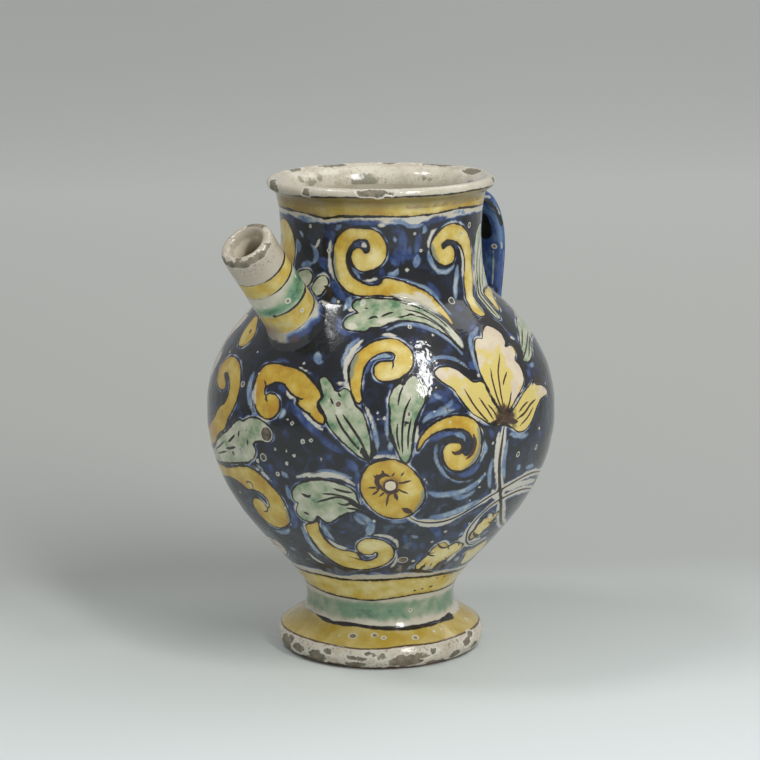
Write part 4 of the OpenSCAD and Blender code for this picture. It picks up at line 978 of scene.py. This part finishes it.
def burst(u, z):
    """How far each point is from the rim of the nearest burst bubble, in mm, negative inside it."""
    off = np.full(len(u), far_off)
    for turn, height, r in bubbles:
        near = close_to(u, z, np.array([(turn, height)]), r + 3)
        d = np.linalg.norm(on_jar(u[near], z[near]) - on_jar(turn, height), axis=1)
        off[near] = np.minimum(off[near], d - r)
    return off


def painting(points):
    """The painted fields on the belly and the neck. The far side repeats the shown one, turned over."""
    u, z = round_jar(points)
    outer = np.flatnonzero(np.hypot(points[:, 0], points[:, 1]) / mm > side_r(z) - 1)
    # The whole painting sits a little smaller on the jar than it was set out.
    u, z = folded(u[outer]) * 1.008 - 0.25, z[outer] + (z[outer] - 135) * 0.008
    low = np.interp(u, (-90, -60, -40, -7, 10, 25, 50, 90), (32.8, 33, 31.8, 31, 32.5, 33.5, 33, 33.4))
    high = np.interp(u, (-90, -60, -40, -25, 0, 15, 40, 60, 90),
                     (43.4, 43, 44, 43.2, 44.3, 45, 44.2, 42.8, 43))
    brim = np.interp(u, (-90, -60, -45, -32, -22, 0, 15, 24, 26, 48, 70, 90),
                     (225.2, 225.4, 224.9, 223.4, 225, 225.3, 224.8, 225.4, 225.2, 226.8, 225.6, 225.2))
    yellow, scroll = filled(u, z, scrolls)
    green, leaf = filled(u, z, leaves)
    petal = filled(u, z, petals)[0]
    fields = {"green": green, "petal": petal, "bubble": burst(u, z), "copper": np.interp(u, *copper_wash),
              "yellow": np.minimum.reduce([yellow, np.maximum(low - z, z - high), brim - z]),
              "ripe": np.where(z < low_band_z, low_band_ripeness, np.array(ripeness)[scroll]),
              "fresh": np.array(freshness)[leaf],
              "heart": np.linalg.norm(on_jar(u, z) - on_jar(*flower_heart), axis=1)}
    for label, strokes in (("stem", stems), ("one", lines[::3]), ("two", lines[1::3]),
                           ("three", lines[2::3])):
        fields[label + "_side"], fields[label + "_off"] = inked(u, z, strokes)
    for label, gaps in (("pale", pale_places), ("dragged", dragged_places), ("thin", thin_places),
                        ("dull", dull_places), ("bare_gap", bare_gaps), ("pale_gap", pale_gaps),
                        ("cobalt_gap", cobalt_gaps)):
        fields[label] = opened(u, z, gaps)
    # The ground keeps clear of the motifs, the stems and the yellow bands at the foot and under the lip.
    fields["clear"] = np.minimum.reduce([yellow, green, petal, fields["stem_off"] - 0.8, z - high - 3.0,
                                         brim - 2.4 - z])
    painted = {}
    for label, values in fields.items():
        painted[label] = np.full(len(points), -far_off if label in ("clear", "copper") else far_off)
        painted[label][outer] = values
    return painted


def painted_glaze(name):
    """The glaze of the belly and the neck, with the painting laid on in the order that the brush went."""
    glaze = Glaze(name)
    fine, middle, broad = glaze.grain(2.0, 3), glaze.grain(6, 2, 40), glaze.grain(18, 2, 90)
    yellow, green, petal = glaze.field("yellow"), glaze.field("green"), glaze.field("petal")
    # The ground: pale blue and cobalt washes at its edges, blue-black over the rest, with gaps left in it.
    ragged = glaze.field("clear") + middle * 1.2 + fine * 0.35 + broad * 2.4 + 0.2
    glaze.lay(ragged.over(0.5, 0.25), colour(120, 140, 170))
    glaze.lay((ragged + fine * 0.5).over(0.95, 0.2), colour(52, 70, 112))
    brush = glaze.grain(9, 3, 15) + fine * 0.2
    night = brush.ramp((0.0, colour(15, 16, 18)), (0.56, colour(19, 21, 27)), (0.68, colour(27, 34, 56)),
                       (0.86, colour(46, 62, 102)))
    dark = (ragged + middle * 0.4).over(1.2, 0.25)
    glaze.lay(dark, night)
    rim = (glaze.field("clear") + middle * 2 + broad * 2.5).below(1.3, 1.0)
    glaze.lay(dark * rim * 0.4, colour(40, 55, 94))
    # Painted reflection: the dark ground greys toward the foot, as if the pale floor shone in it.
    glaze.lay(dark * glaze.z.below(88, 34) * (brush.over(-0.05, 0.3) * 0.4 + 0.2), colour(64, 69, 78))
    # The brush leaves short winding channels between its dabs, paler toward the foot.
    channel = dark * abs(glaze.grain(15, 2, 70) + fine * 0.1).below(0.05, 0.08)
    channel = channel * (glaze.z.below(96, 40) * 0.4 + 0.15) * (broad + middle * 0.5).over(0.06, 0.12)
    pale = glaze.z.below(90, 30) * (middle + 0.6)
    glaze.lay(channel, pale.mixed(colour(54, 74, 120), colour(124, 142, 164)))
    cloud = middle + fine * 0.4
    blue = cloud.ramp((0.25, colour(36, 50, 92)), (0.55, colour(54, 74, 120)), (0.85, colour(80, 102, 144)))
    glaze.lay((glaze.field("cobalt_gap") + middle * 1.7 + fine * 1.0).below(0.15, 0.9), blue)
    sky = cloud.ramp((0.2, colour(84, 106, 142)), (0.5, colour(122, 142, 166)), (0.8, colour(164, 176, 182)))
    glaze.lay((glaze.field("pale_gap") + middle * 1.4 + fine * 0.9).below(0.1, 0.6), sky)
    glaze.lay((glaze.field("bare_gap") + middle * 1.1 + fine * 0.8).below(0.05, 0.4), colour(196, 192, 180))
    glaze.pits(7.0, 0.20, 0.7, 5.0)
    # The motifs: yellow scrolls, grey-green leaves and cream petals, each with thin and full places.
    dirt = glaze.grain(1.1, 2, 23).over(0.3, 0.1) * glaze.grain(7, 2, 51).over(0.0, 0.25)
    sun = (glaze.grain(12, 3, 60) + fine * 0.14 + glaze.field("ripe")).ramp(
        (0.1, colour(226, 211, 152)), (0.4, colour(209, 185, 98)), (0.6, colour(198, 165, 60)),
        (0.85, colour(180, 136, 34)))
    sun = ((yellow + middle * 2.4 + fine).over(-1.5, 1.0) * 0.4).mixed(sun, colour(166, 126, 50))
    dragged = (glaze.field("dragged") + middle * 1.4 + fine * 0.8).below(0.2, 0.9)
    sun = (dragged * 0.75).mixed(sun, colour(98, 124, 120))
    sun = (dirt * 0.55).mixed(sun, colour(132, 104, 58))
    glaze.lay((yellow + middle * 0.9).below(-0.2, 0.45), sun)
    moss = (glaze.grain(8, 3, 25) + fine * 0.2 + glaze.field("fresh")).ramp(
        (0.12, colour(204, 202, 182)), (0.42, colour(174, 179, 152)), (0.6, colour(146, 160, 128)),
        (0.74, colour(102, 138, 102)), (0.9, colour(64, 106, 76)))
    moss = (dirt * 0.6).mixed(moss, colour(92, 92, 76))
    glaze.lay((green + middle * 0.8).below(-0.15, 0.4), moss)
    warm = (glaze.field("heart") + glaze.grain(6, 3, 80) * 40).below(36, 7)
    warm = warm * (glaze.field("pale") + glaze.grain(5, 3, 64) * 6).over(-0.3, 1.0)
    blush = (middle + fine * 0.3).over(0.1, 0.4).mixed(colour(216, 203, 176), colour(208, 188, 164))
    blush = warm.mixed(blush, colour(212, 192, 112))
    blush = (dirt * 0.5).mixed(blush, colour(150, 118, 84))
    glaze.lay((petal + middle * 0.4).below(-0.05, 0.3), blush)
    heart = (glaze.field("heart") + middle * 8 + fine * 4).below(7.0, 2.2)
    glaze.lay(heart * petal.below(0.5, 0.5) * 0.95, colour(58, 36, 27))
    smudge = (petal + middle * 3 + fine * 2).below(1.4, 1.6) * yellow.below(-2.0, 0.5) * petal.over(0.2, 0.2)
    glaze.lay(smudge * 0.75, colour(104, 70, 38))
    # Dirt and painted shade on the yellow band under the lip, at its top and toward the left.
    glaze.band_dirt_and_shade(yellow.below(0.0, 0.3))
    thin = (glaze.field("thin") + middle * 1.2 + fine * 0.8).below(0.0, 0.6)
    glaze.lay(thin * 0.8, colour(210, 205, 188))
    # The drawing, in manganese black that thins to brown inside the light motifs.
    press = middle * 0.8 + broad * 0.8
    pen = (press + 0.62 - glaze.z.over(192, 10) * 0.08).most(0.2)
    drawn = abs(yellow + fine * 0.5).below(pen, 0.18).most(abs(green + fine * 0.5).below(pen, 0.18))
    drawn = drawn.most(abs(petal + fine * 0.3).below(pen * 0.75, 0.18))
    for line in ("stem", "one", "two", "three"):
        across = abs(glaze.field(line + "_side") + fine * 0.4)
        drawn = drawn.most(across.below(1.0, 0.25) * glaze.field(line + "_off").below(0.4, 0.15))
    inside = yellow.least(petal).below(-1.0, 0.3)
    black = (fine * 0.7 - press).over(0.1, 0.4).mixed(colour(20, 18, 18), colour(46, 38, 32))
    glaze.lay(drawn * (1 - thin * 0.75), inside.mixed(black, colour(64, 42, 28)))
    # Bubbles that burst in the kiln and healed with a white rim.
    bubble = glaze.field("bubble") + fine * 0.3
    glaze.lay(bubble.below(0.0, 0.2), colour(200, 197, 186))
    pit = bubble.below(-0.45, 0.2)
    glaze.lay(pit, glaze.grain(4, 2, 3).over(0.0, 0.2).mixed(colour(118, 100, 80), colour(66, 60, 54)))
    # Under the lowest line the stem of the foot begins, cream with a copper-green wash.
    under_line = yellow.over(0.3, 0.3)
    glaze.lay(under_line * glaze.z.below(36, 0.5), glaze.cream)
    glaze.stem_wash(under_line * glaze.field("copper").over(-0.4, 0.3))
    glaze.gloss = glaze.gloss + pit * 0.3 + glaze.field("dull").below(-1.0, 4.0) * 0.16
    skin = glaze.grain(6, 2, 12) * 0.5 + glaze.grain(1.6, 2, 7) * 0.03 + glaze.grain(3, 2, 33) * 0.08
    return glaze.fire(skin + drawn * 0.12 - bubble.below(-0.5, 0.5) * 0.5)


floor_line, joint_line = [(0, foot_h), (waist_r, foot_h)], [(shoulder_r, shoulder_z), (mouth_r, shoulder_z)]
clay = thrown(walk(floor_line, lower, upper, joint_line, throat, bowl), 480, False)
pour = Vector((-math.cos(spout_rise), 0, math.sin(spout_rise)))
root = Vector(spout_root) * mm
from_root = [(f, f.calc_center_median() - root) for f in clay.faces]
bored = [f for f, way in from_root
         if way.cross(pour).length < hole_r * mm and abs(way.dot(pour)) < hole_reach * mm]
bmesh.ops.delete(clay, geom=bored, context="FACES")
bmesh.ops.bridge_loops(clay, edges=[e for e in clay.edges if e.is_boundary])
shape = places(clay)
finished("jar_belly", clay, uneven(shape), painting(shape), painted_glaze("belly_glaze"), ["belly"])

# The neck: a collar thrown apart and luted on the shoulder, with a straight bore. Its scrolls run down over
# the joint, and the yellow band of the lip begins at its top.
neck_bore = np.linspace((mouth_r, neck_top_z), (mouth_r, shoulder_z), 20)
clay = thrown(walk(neck_line, neck_bore), 416, True)
shape = places(clay)
finished("jar_neck", clay, uneven(shape), painting(shape), painted_glaze("neck_glaze"), ["neck"])

# The lip: a rolled edge turned on the neck, left in white glaze over the yellow band that fills the cove
# under it. Use has knocked flakes of glaze off it, inside and out, down to the grey-buff clay.
lip_h, lip_r, lip_edge_r = 10.0, 56.3, 2.8
inside_r, worn_r, outside_r = 50.0, 50.4, 51.0
lip_top_z = neck_top_z + lip_h
neck_edge_r = neck_line[-1][0]
rolled = arc((lip_r - lip_edge_r, lip_top_z - lip_edge_r), lip_edge_r, -60, 130, 34)
cove = bezier((neck_edge_r, neck_top_z), (neck_edge_r, neck_top_z + lip_h / 3), rolled[0] - (0.57, 0.38),
              rolled[0], 16)
funnel = bezier(rolled[-1], rolled[-1] - (4.4, 2.14), (mouth_r, lip_top_z - lip_h / 2),
                (mouth_r, neck_top_z), 20)
clay = thrown(walk(cove, rolled, funnel), 560, True)
shape = places(clay)
u, z = round_jar(shape)
r = np.hypot(shape[:, 0], shape[:, 1]) / mm
line_z = np.interp(folded(u), (-90, -52, -35, -15, 10, 35, 52, 70, 90),
                   (232.6, 232.7, 233.4, 234.2, 234.4, 234.2, 234.6, 234.2, 233.4))
flake = flaked(shape, [
    (-2.5, 236.3, 55.6, 8.4, 1.9), (-68, 234.6, 56, 6, 2.8), (-74, 237, 54, 5, 2.2),
    (-39.5, 235, 56.2, 2.4, 1.9), (-124, 237.4, 53, 6, 2.2), (-152, 237.6, 53, 7, 2),
    (175, 237.8, 53, 4, 1.4), (146, 237.6, 53.4, 12, 2), (116, 236.6, 51, 8, 2.6), (128, 235.2, 56.2, 9, 2),
    (-100, 236.4, 55.6, 4, 1.6), (-160, 235, 56.2, 6, 2), (52, 236.6, 50.2, 9, 1), (30, 236.4, 49.8, 6, 0.7),
    (84, 236, 55.8, 5, 1.6)], 0.8)
stain = flaked(shape, [
    (-170, 230, 44.8, 6.4, 3.2), (-138, 232.6, 46, 2.2, 2), (-120, 233.6, 46.6, 2.6, 2),
    (-128, 231, 45, 4, 2.6), (150, 231, 45, 3, 1.2), (100, 232, 45.6, 5, 2), (-60, 231, 45, 5, 2),
    (40, 230, 45, 6, 2.4)], 1.6)
worn = np.hypot(r - worn_r, np.maximum(np.abs(u - 45) - 26, 0) / 5) - 1.2
lip_paint = {"band": np.where(r > outside_r, z - line_z, far_off), "inner": np.where(r < inside_r, 1.0, 0.0),
             "flake": flake, "stain": stain, "worn": worn}

glaze = Glaze("lip_glaze")
inner = glaze.field("inner")
glaze.lay(inner * 0.6, colour(222, 215, 198))
glaze.lay((glaze.grain(10, 3, 31) + glaze.grain(2, 2, 3) * 0.3).over(0.1, 0.3) * inner * 0.7,
          colour(176, 166, 142))
specks = glaze.grain(1.3, 4, 44).over(0.18, 0.14) * (glaze.grain(5, 3, 12) * 1.2 + 0.5).most(0.1)
glaze.lay(specks * (inner * 0.3 + 0.7), colour(146, 138, 118))
band = glaze.field("band") + glaze.grain(6) * 0.3
ochre = (glaze.grain(12, 3, 60) + glaze.grain(2.0, 3) * 0.14).ramp(
    (0.1, colour(226, 210, 150)), (0.42, colour(208, 184, 100)), (0.62, colour(198, 166, 66)),
    (0.9, colour(184, 142, 40)))
glaze.lay(band.below(0.0, 0.2), ochre)
# Dirt and painted shade on the yellow band under the lip, at its top and toward the left.
glaze.band_dirt_and_shade(band.below(0.0, 0.3))
glaze.lay(abs(band).below((0.4 + glaze.grain(5, 2, 5) * 0.6).most(0.1), 0.18), colour(44, 36, 30))
spill = glaze.field("stain") + glaze.grain(1.6, 3, 19) * 2.4
glaze.lay(spill.below(0.0, 0.7) * 0.75, colour(126, 124, 106))
glaze.lay((glaze.field("worn") + glaze.grain(3, 3, 29) * 1.6).below(0.0, 0.6) * 0.7, colour(128, 100, 76))
loss = glaze.field("flake") + glaze.grain(1.3, 2, 8) * 0.5
glaze.lay(loss.below(0.55, 0.3), colour(212, 206, 190))
glaze.bare(loss.below(0.0, 0.18))
lip_finish = glaze.fire(glaze.grain(4, 3) * 0.4 + glaze.grain(1.2, 2, 61) * 0.15
                        - loss.below(0.1, 0.4) * 0.25)
finished("jar_lip", clay, uneven(shape) + sunk(clay, flake, 0.4), lip_paint, lip_finish, ["lip"])

# The spout: a straight thrown tube, pressed on a hole in the shoulder and sealed with a coil of clay that is
# smoothed into both. Rings of black, yellow and green run round it, and its white mouth is worn by pouring.
spout_r, spout_bore_r, spout_len, mouth_mid_r, painted_len = 13.5, 7.5, 55.2, 10.8, 54.0
seal_h, rim_h, flare_h = 9.0, 4.0, 7.0
seal = bezier((17.4, -4), (16.2, -0.5), (13.7, 2), (spout_r, seal_h), 16)
tube = np.linspace((spout_r, seal_h), (spout_r - 0.1, spout_len - rim_h), 60)
worn = bezier((spout_r - 0.1, spout_len - rim_h), (spout_r - 0.2, spout_len - 0.9),
              (spout_r - 1, spout_len), (mouth_mid_r, spout_len), 14)
inside = bezier((mouth_mid_r, spout_len), (9.0, spout_len), (8.0, spout_len - 1.2),
                (spout_bore_r, spout_len - flare_h), 16)
bore = np.linspace((spout_bore_r, spout_len - flare_h), (spout_bore_r, -6), 30)
clay = thrown(walk(seal, tube, worn, inside, bore), 216, True)
shape = places(clay)
look = camera.location - root
near_side = (look - look.dot(pour) * pour).normalized()
right_side = pour.cross(near_side)
turn = np.arctan2(shape[:, 1], shape[:, 0])
out = np.hypot(shape[:, 0], shape[:, 1])
up = shape[:, 2] / mm
round_deg = np.degrees(turn)
tremor = (1 + 0.012 * np.cos(2 * turn + 0.6) + 0.008 * np.cos(3 * turn + up / 9)
          + 0.006 * np.cos(up / 3.1 + turn))
placed = (np.array(root) + (out * tremor * np.cos(turn))[:, None] * np.array(near_side)
          + (out * tremor * np.sin(turn))[:, None] * np.array(right_side)
          + shape[:, 2:] * np.array(pour))
# Its painting, by mm down from the mouth and degrees round from the shown side.
from_mouth = painted_len - up
mm_per_degree = 0.23
outer = out / mm > spout_bore_r + 2.2
wave = np.cos(turn * 2 + 0.8) * 0.5 + np.cos(turn * 3) * 0.3
slant = np.sin(turn)
heavy = 1 + 0.6 * slant
black = np.full(len(up), far_off)
for place, tilt, half, sway in ((14.3, 0.0, 0.45, 0.4), (22.6, 1.0, 0.4, 0.4), (46.8, 0.0, 0.42, 0.5)):
    black = np.minimum(black, np.abs(from_mouth - place + tilt * slant - sway * wave) - half * heavy)
ended = np.clip((round_deg + 32) / 6, -0.5, 1)
broken = 0.62 * heavy * np.where(round_deg < 150, ended, 0.3)
black = np.minimum(black, np.abs(from_mouth - 35.8 - 0.7 * slant - 0.3 * wave) - broken)
black = np.minimum(black, np.hypot((round_deg + 30) * mm_per_degree, from_mouth - 35.4) - 0.9)
yellow = np.minimum(np.abs(from_mouth - 18.4 + 0.5 * slant - 0.4 * wave) - 4.2,
                    np.abs(from_mouth - 41.2 - 0.3 * slant - 0.4 * wave) - 5.4)
copper = (np.exp(-((round_deg - 54) / 42) ** 2 - ((from_mouth - 29.6) / 5.0) ** 2)
          + 0.9 * np.exp(-((round_deg + 34) / 52) ** 2 - ((from_mouth - 32.8) / 2.9) ** 2)
          + 0.7 * np.exp(-((np.abs(round_deg) - 160) / 40) ** 2 - ((from_mouth - 31) / 4) ** 2))
burns = np.full(len(up), far_off)
for girth, place, size in (
        (10, 31, 1.6), (25, 41, 1.2), (60, 26, 0.8), (-40, 29, 0.7), (120, 19, 0.9), (-150, 42, 1.1)):
    beside = ((round_deg - girth + 180) % 360 - 180) * mm_per_degree
    burns = np.minimum(burns, np.hypot(beside, from_mouth - place) - size)
wear = np.array([noise.noise(Vector(p) / 3.2) + 0.5 * noise.noise(Vector(p) / 1.3) for p in shape / mm])
mouth_wear = np.abs(up - spout_len + 2.0) - 1.7 + np.abs((round_deg + 25) / 78) ** 6 + wear * 1.5
chip = np.hypot((round_deg - 125) / 34, (up - spout_len + 1.2) / 2.6) * 2.4 - 2.4 + wear * 0.5
flake = np.where(out / mm > 10, np.minimum(mouth_wear, chip), far_off)
spout_paint = {"black": np.where(outer, black, far_off), "yellow": np.where(outer, yellow, far_off),
               "burn": np.where(outer, burns, far_off), "copper": np.where(outer, copper, 0), "flake": flake,
               "from_mouth": np.where(outer, from_mouth, 0), "deep": np.where(outer, 0, from_mouth),
               "girth": round_deg}

glaze = Glaze("spout_glaze")
lemon = (glaze.grain(7, 3, 12) + glaze.grain(2, 2, 66) * 0.15).ramp(
    (0.2, colour(208, 188, 120)), (0.5, colour(198, 170, 74)), (0.8, colour(186, 150, 36)))
glaze.lay((glaze.field("yellow") + glaze.grain(5) * 0.5).below(0.0, 0.35), lemon)
patina = glaze.field("copper") + glaze.grain(5, 3) * 0.45
glaze.lay(patina.over(0.15, 0.3) * 0.6, colour(150, 166, 134))
glaze.lay(patina.over(0.42, 0.3) * 0.9, colour(92, 138, 102))
glaze.lay((patina + glaze.grain(2.4, 2, 36) * 0.7).over(0.85, 0.25) * 0.85, colour(50, 98, 74))
down, girth = glaze.field("from_mouth"), glaze.field("girth")
glaze.lay(down.below(14.3, 0.4) * (glaze.grain(10, 2, 27) * 0.6 + 0.6), colour(176, 163, 147))
under = (girth + glaze.grain(9, 2, 5) * 30).below(-44, 14) * girth.over(-150, 20)
glaze.lay(under * down.over(41, 7) * 0.85, colour(140, 120, 104))
tail = down + glaze.grain(5, 2, 3) * 2.4
wedge = girth.over(38, 12) * girth.below(120, 10) * 2.2
washed = (girth + glaze.grain(6, 2, 21) * 24).over(-34, 10)
glaze.lay((tail - wedge).over(47.9, 0.6) * washed, colour(120, 140, 168))
glaze.lay((tail - wedge).over(49.0, 0.8) * washed, colour(50, 68, 112))
glaze.lay((tail - wedge * 0.6).over(51.6, 0.9), colour(22, 23, 28))
smear = abs(girth + 20).below(9, 6) * tail.over(50.0, 1.0) * tail.below(52.5, 1.0)
glaze.lay(smear * 0.8, colour(84, 54, 42))
glaze.lay((glaze.field("black") + glaze.grain(3) * 0.3).below(0.0, 0.16), colour(36, 30, 24))
burn = glaze.field("burn") + glaze.grain(2, 2, 9) * 0.3
glaze.lay(burn.below(0.0, 0.2), colour(204, 198, 180))
glaze.lay(burn.below(-0.7, 0.25), colour(116, 112, 88))
specks = glaze.grain(1.1, 2, 4).over(0.2, 0.12) * glaze.grain(7, 2, 18).over(-0.05, 0.2)
glaze.lay(specks * down.below(9, 4) * 0.75, colour(112, 104, 92))
# Painted shade down the bore: its glaze goes from pale cream at the mouth to near black deep inside.
deep = glaze.field("deep") + glaze.grain(4, 2, 2) * 2
for start, soft, shade in ((3, 1, colour(212, 204, 184)), (8, 5, colour(168, 154, 130)),
                           (15, 6, colour(98, 84, 68)), (22, 8, colour(44, 37, 32))):
    glaze.lay(deep.over(start, soft), shade)
loss = glaze.field("flake") + glaze.grain(1.3, 2, 8) * 0.7
glaze.lay(loss.below(0.5, 0.4), colour(202, 194, 178))
glaze.bare(loss.below(-0.1, 0.3))
finished("jar_spout", clay, placed, spout_paint, glaze.fire(glaze.grain(4, 3) * 0.35),
         ["spout", "spout_coil"])

# The handle: a pulled strap of clay, bent from the neck down to the shoulder and luted at both ends. It is
# washed with cobalt and crossed by broad blue-black strokes.
strap_w, strap_t, strap_run, squareness = 36.0, 8.5, 78.0, 0.6
strap = bmesh.new()
bmesh.ops.create_cone(strap, cap_ends=True, segments=144, radius1=1, radius2=1, depth=1)
long_edges = [e for e in strap.edges if abs(e.verts[0].co.z - e.verts[1].co.z) > 0.5]
bmesh.ops.subdivide_edges(strap, edges=long_edges, cuts=140, use_grid_fill=True)
shape = places(strap)
t = (0.5 - shape[:, 2])[:, None]
ends = [np.array(p) for p in ((50.40, 220.75), (76.40, 235.75), (84.10, 189.40), (73.10, 162.40))]
# Both ends run on a little, into the walls that they are luted on.
ends[0], ends[3] = ends[0] - (2.6, 0.7), ends[3] - (0.8, 3.0)
back = 1 - t
spine = back ** 3 * ends[0] + 3 * t * back ** 2 * ends[1] + 3 * t * t * back * ends[2] + t ** 3 * ends[3]
along = back ** 2 * (ends[1] - ends[0]) + 2 * t * back * (ends[2] - ends[1]) + t * t * (ends[3] - ends[2])
along /= np.linalg.norm(along, axis=1)[:, None]
turn = np.arctan2(shape[:, 1], shape[:, 0])
down = t[:, 0] * strap_run
rise = strap_run - down
flare = 1 + 0.3 * np.exp(-((down - 3) / 4) ** 2) + 0.6 * np.exp(-((rise - 3) / 4) ** 2)
thick = strap_t / 2 * np.sign(np.cos(turn)) * np.abs(np.cos(turn)) ** squareness * flare
across = strap_w / 2 * np.sign(np.sin(turn)) * np.abs(np.sin(turn)) ** squareness
across *= (1 + 0.012 * np.cos(t[:, 0] * 9) - 0.1 * np.exp(-((t[:, 0] - 0.8) / 0.2) ** 2)
           + 0.06 * np.exp(-((rise - 2) / 4) ** 2))
placed = np.c_[spine[:, 0] - along[:, 1] * thick, across, spine[:, 1] + along[:, 0] * thick] * mm
# The brush work and a painted highlight, in mm round the strap from the middle of its edge, outward up,
# and mm down from the neck.
spread = np.c_[thick + np.sign(thick) * (strap_w / 2 - np.abs(across)).clip(0), down]
dark_strokes = [
    (1.5, [(-3.2, 7), (-2.6, 15), (-2.2, 24), (-1.4, 31), (-0.2, 38)]),
    (4.8, [(-16.5, 30), (-13.4, 35), (-12.6, 41)]), (0.6, [(-11, 66), (-8, 65.2), (-4.6, 66.6), (-4, 70)]),
    (3.4, [(22, 12), (15, 19), (8, 24)]), (3.6, [(21, 33), (13, 39), (6, 47)]),
    (3, [(21, 54), (13, 58), (5, 64)]), (2.6, [(-20, 58), (-15, 62)]),
]
light_strokes = [
    (1.8, [(-9.6, 19), (-8.4, 26), (-4.6, 33), (-3.2, 41), (-2.6, 46)]),
    (1, [(0.8, 52), (0.8, 60), (1, 71)]), (1.6, [(16, 30), (9, 36)]), (1.6, [(15, 50), (8, 55)]),
]
# Pale grey strokes; the ones down the middle of the strap's edge are a painted highlight.
grey_strokes_and_highlight = [
    (0.8, [(-0.6, 4), (-0.2, 12), (0.4, 19)]), (0.4, [(0.2, 28.5), (0.3, 33)]),
    (0.9, [(-2.2, 47.8), (-2, 49.2)]), (0.35, [(-8.2, 51), (-8, 65)]), (1.1, [(-8.6, 67.6), (-7.6, 68)]),
    (1.2, [(22, 26), (16, 29)]), (0.9, [(12, 66), (6, 69)]),
]
strap_paint = {}
for label, group in (("dark", dark_strokes), ("light", light_strokes), ("grey", grey_strokes_and_highlight)):
    reaches = [nearest(spread, traced(stroke, False), False)[0] - half for half, stroke in group]
    strap_paint[label] = np.min(reaches, axis=0)
strap_paint["bubble"] = np.minimum(np.hypot((spread[:, 0] + 7.4) * 0.6, down - 48.8),
                                   np.hypot(spread[:, 0] - 12, down - 30)) - 1.2

glaze = Glaze("handle_glaze")
middle, fine = glaze.grain(5, 3), glaze.grain(2, 3)
glaze.coat = glaze.grain(9, 3, 3).ramp(
    (0.2, colour(40, 60, 116)), (0.5, colour(56, 82, 134)), (0.8, colour(94, 122, 154)))
glaze.lay((glaze.field("light") + middle * 1.4 + fine * 0.6).below(0.0, 0.9), colour(92, 120, 164))
glaze.lay(glaze.grain(10, 3, 28).over(0.2, 0.12) * 0.5, colour(120, 138, 142))
glaze.lay((glaze.field("dark") + middle * 1.6 + fine * 0.6).below(0.0, 0.35),
          glaze.grain(7, 2, 50).over(0.0, 0.3).mixed(colour(20, 20, 24), colour(42, 38, 34)))
# Pale grey strokes, among them a painted highlight down the middle of the strap's edge.
glaze.lay((glaze.field("grey") + middle * 1.0 + fine * 0.5).below(0.0, 0.4), colour(164, 172, 160))
glaze.pits(9.0, 0.2, 0.9, 3.0)
ring = glaze.field("bubble") + fine * 0.3
glaze.lay(ring.below(0.0, 0.25), colour(200, 198, 186))
glaze.lay(ring.below(-0.6, 0.25), colour(120, 102, 84))
bmesh.ops.recalc_face_normals(strap, faces=strap.faces[:])
finished("jar_handle", strap, placed, strap_paint, glaze.fire(glaze.grain(5, 2) * 0.4),
         ["handle", "handle_coils"])
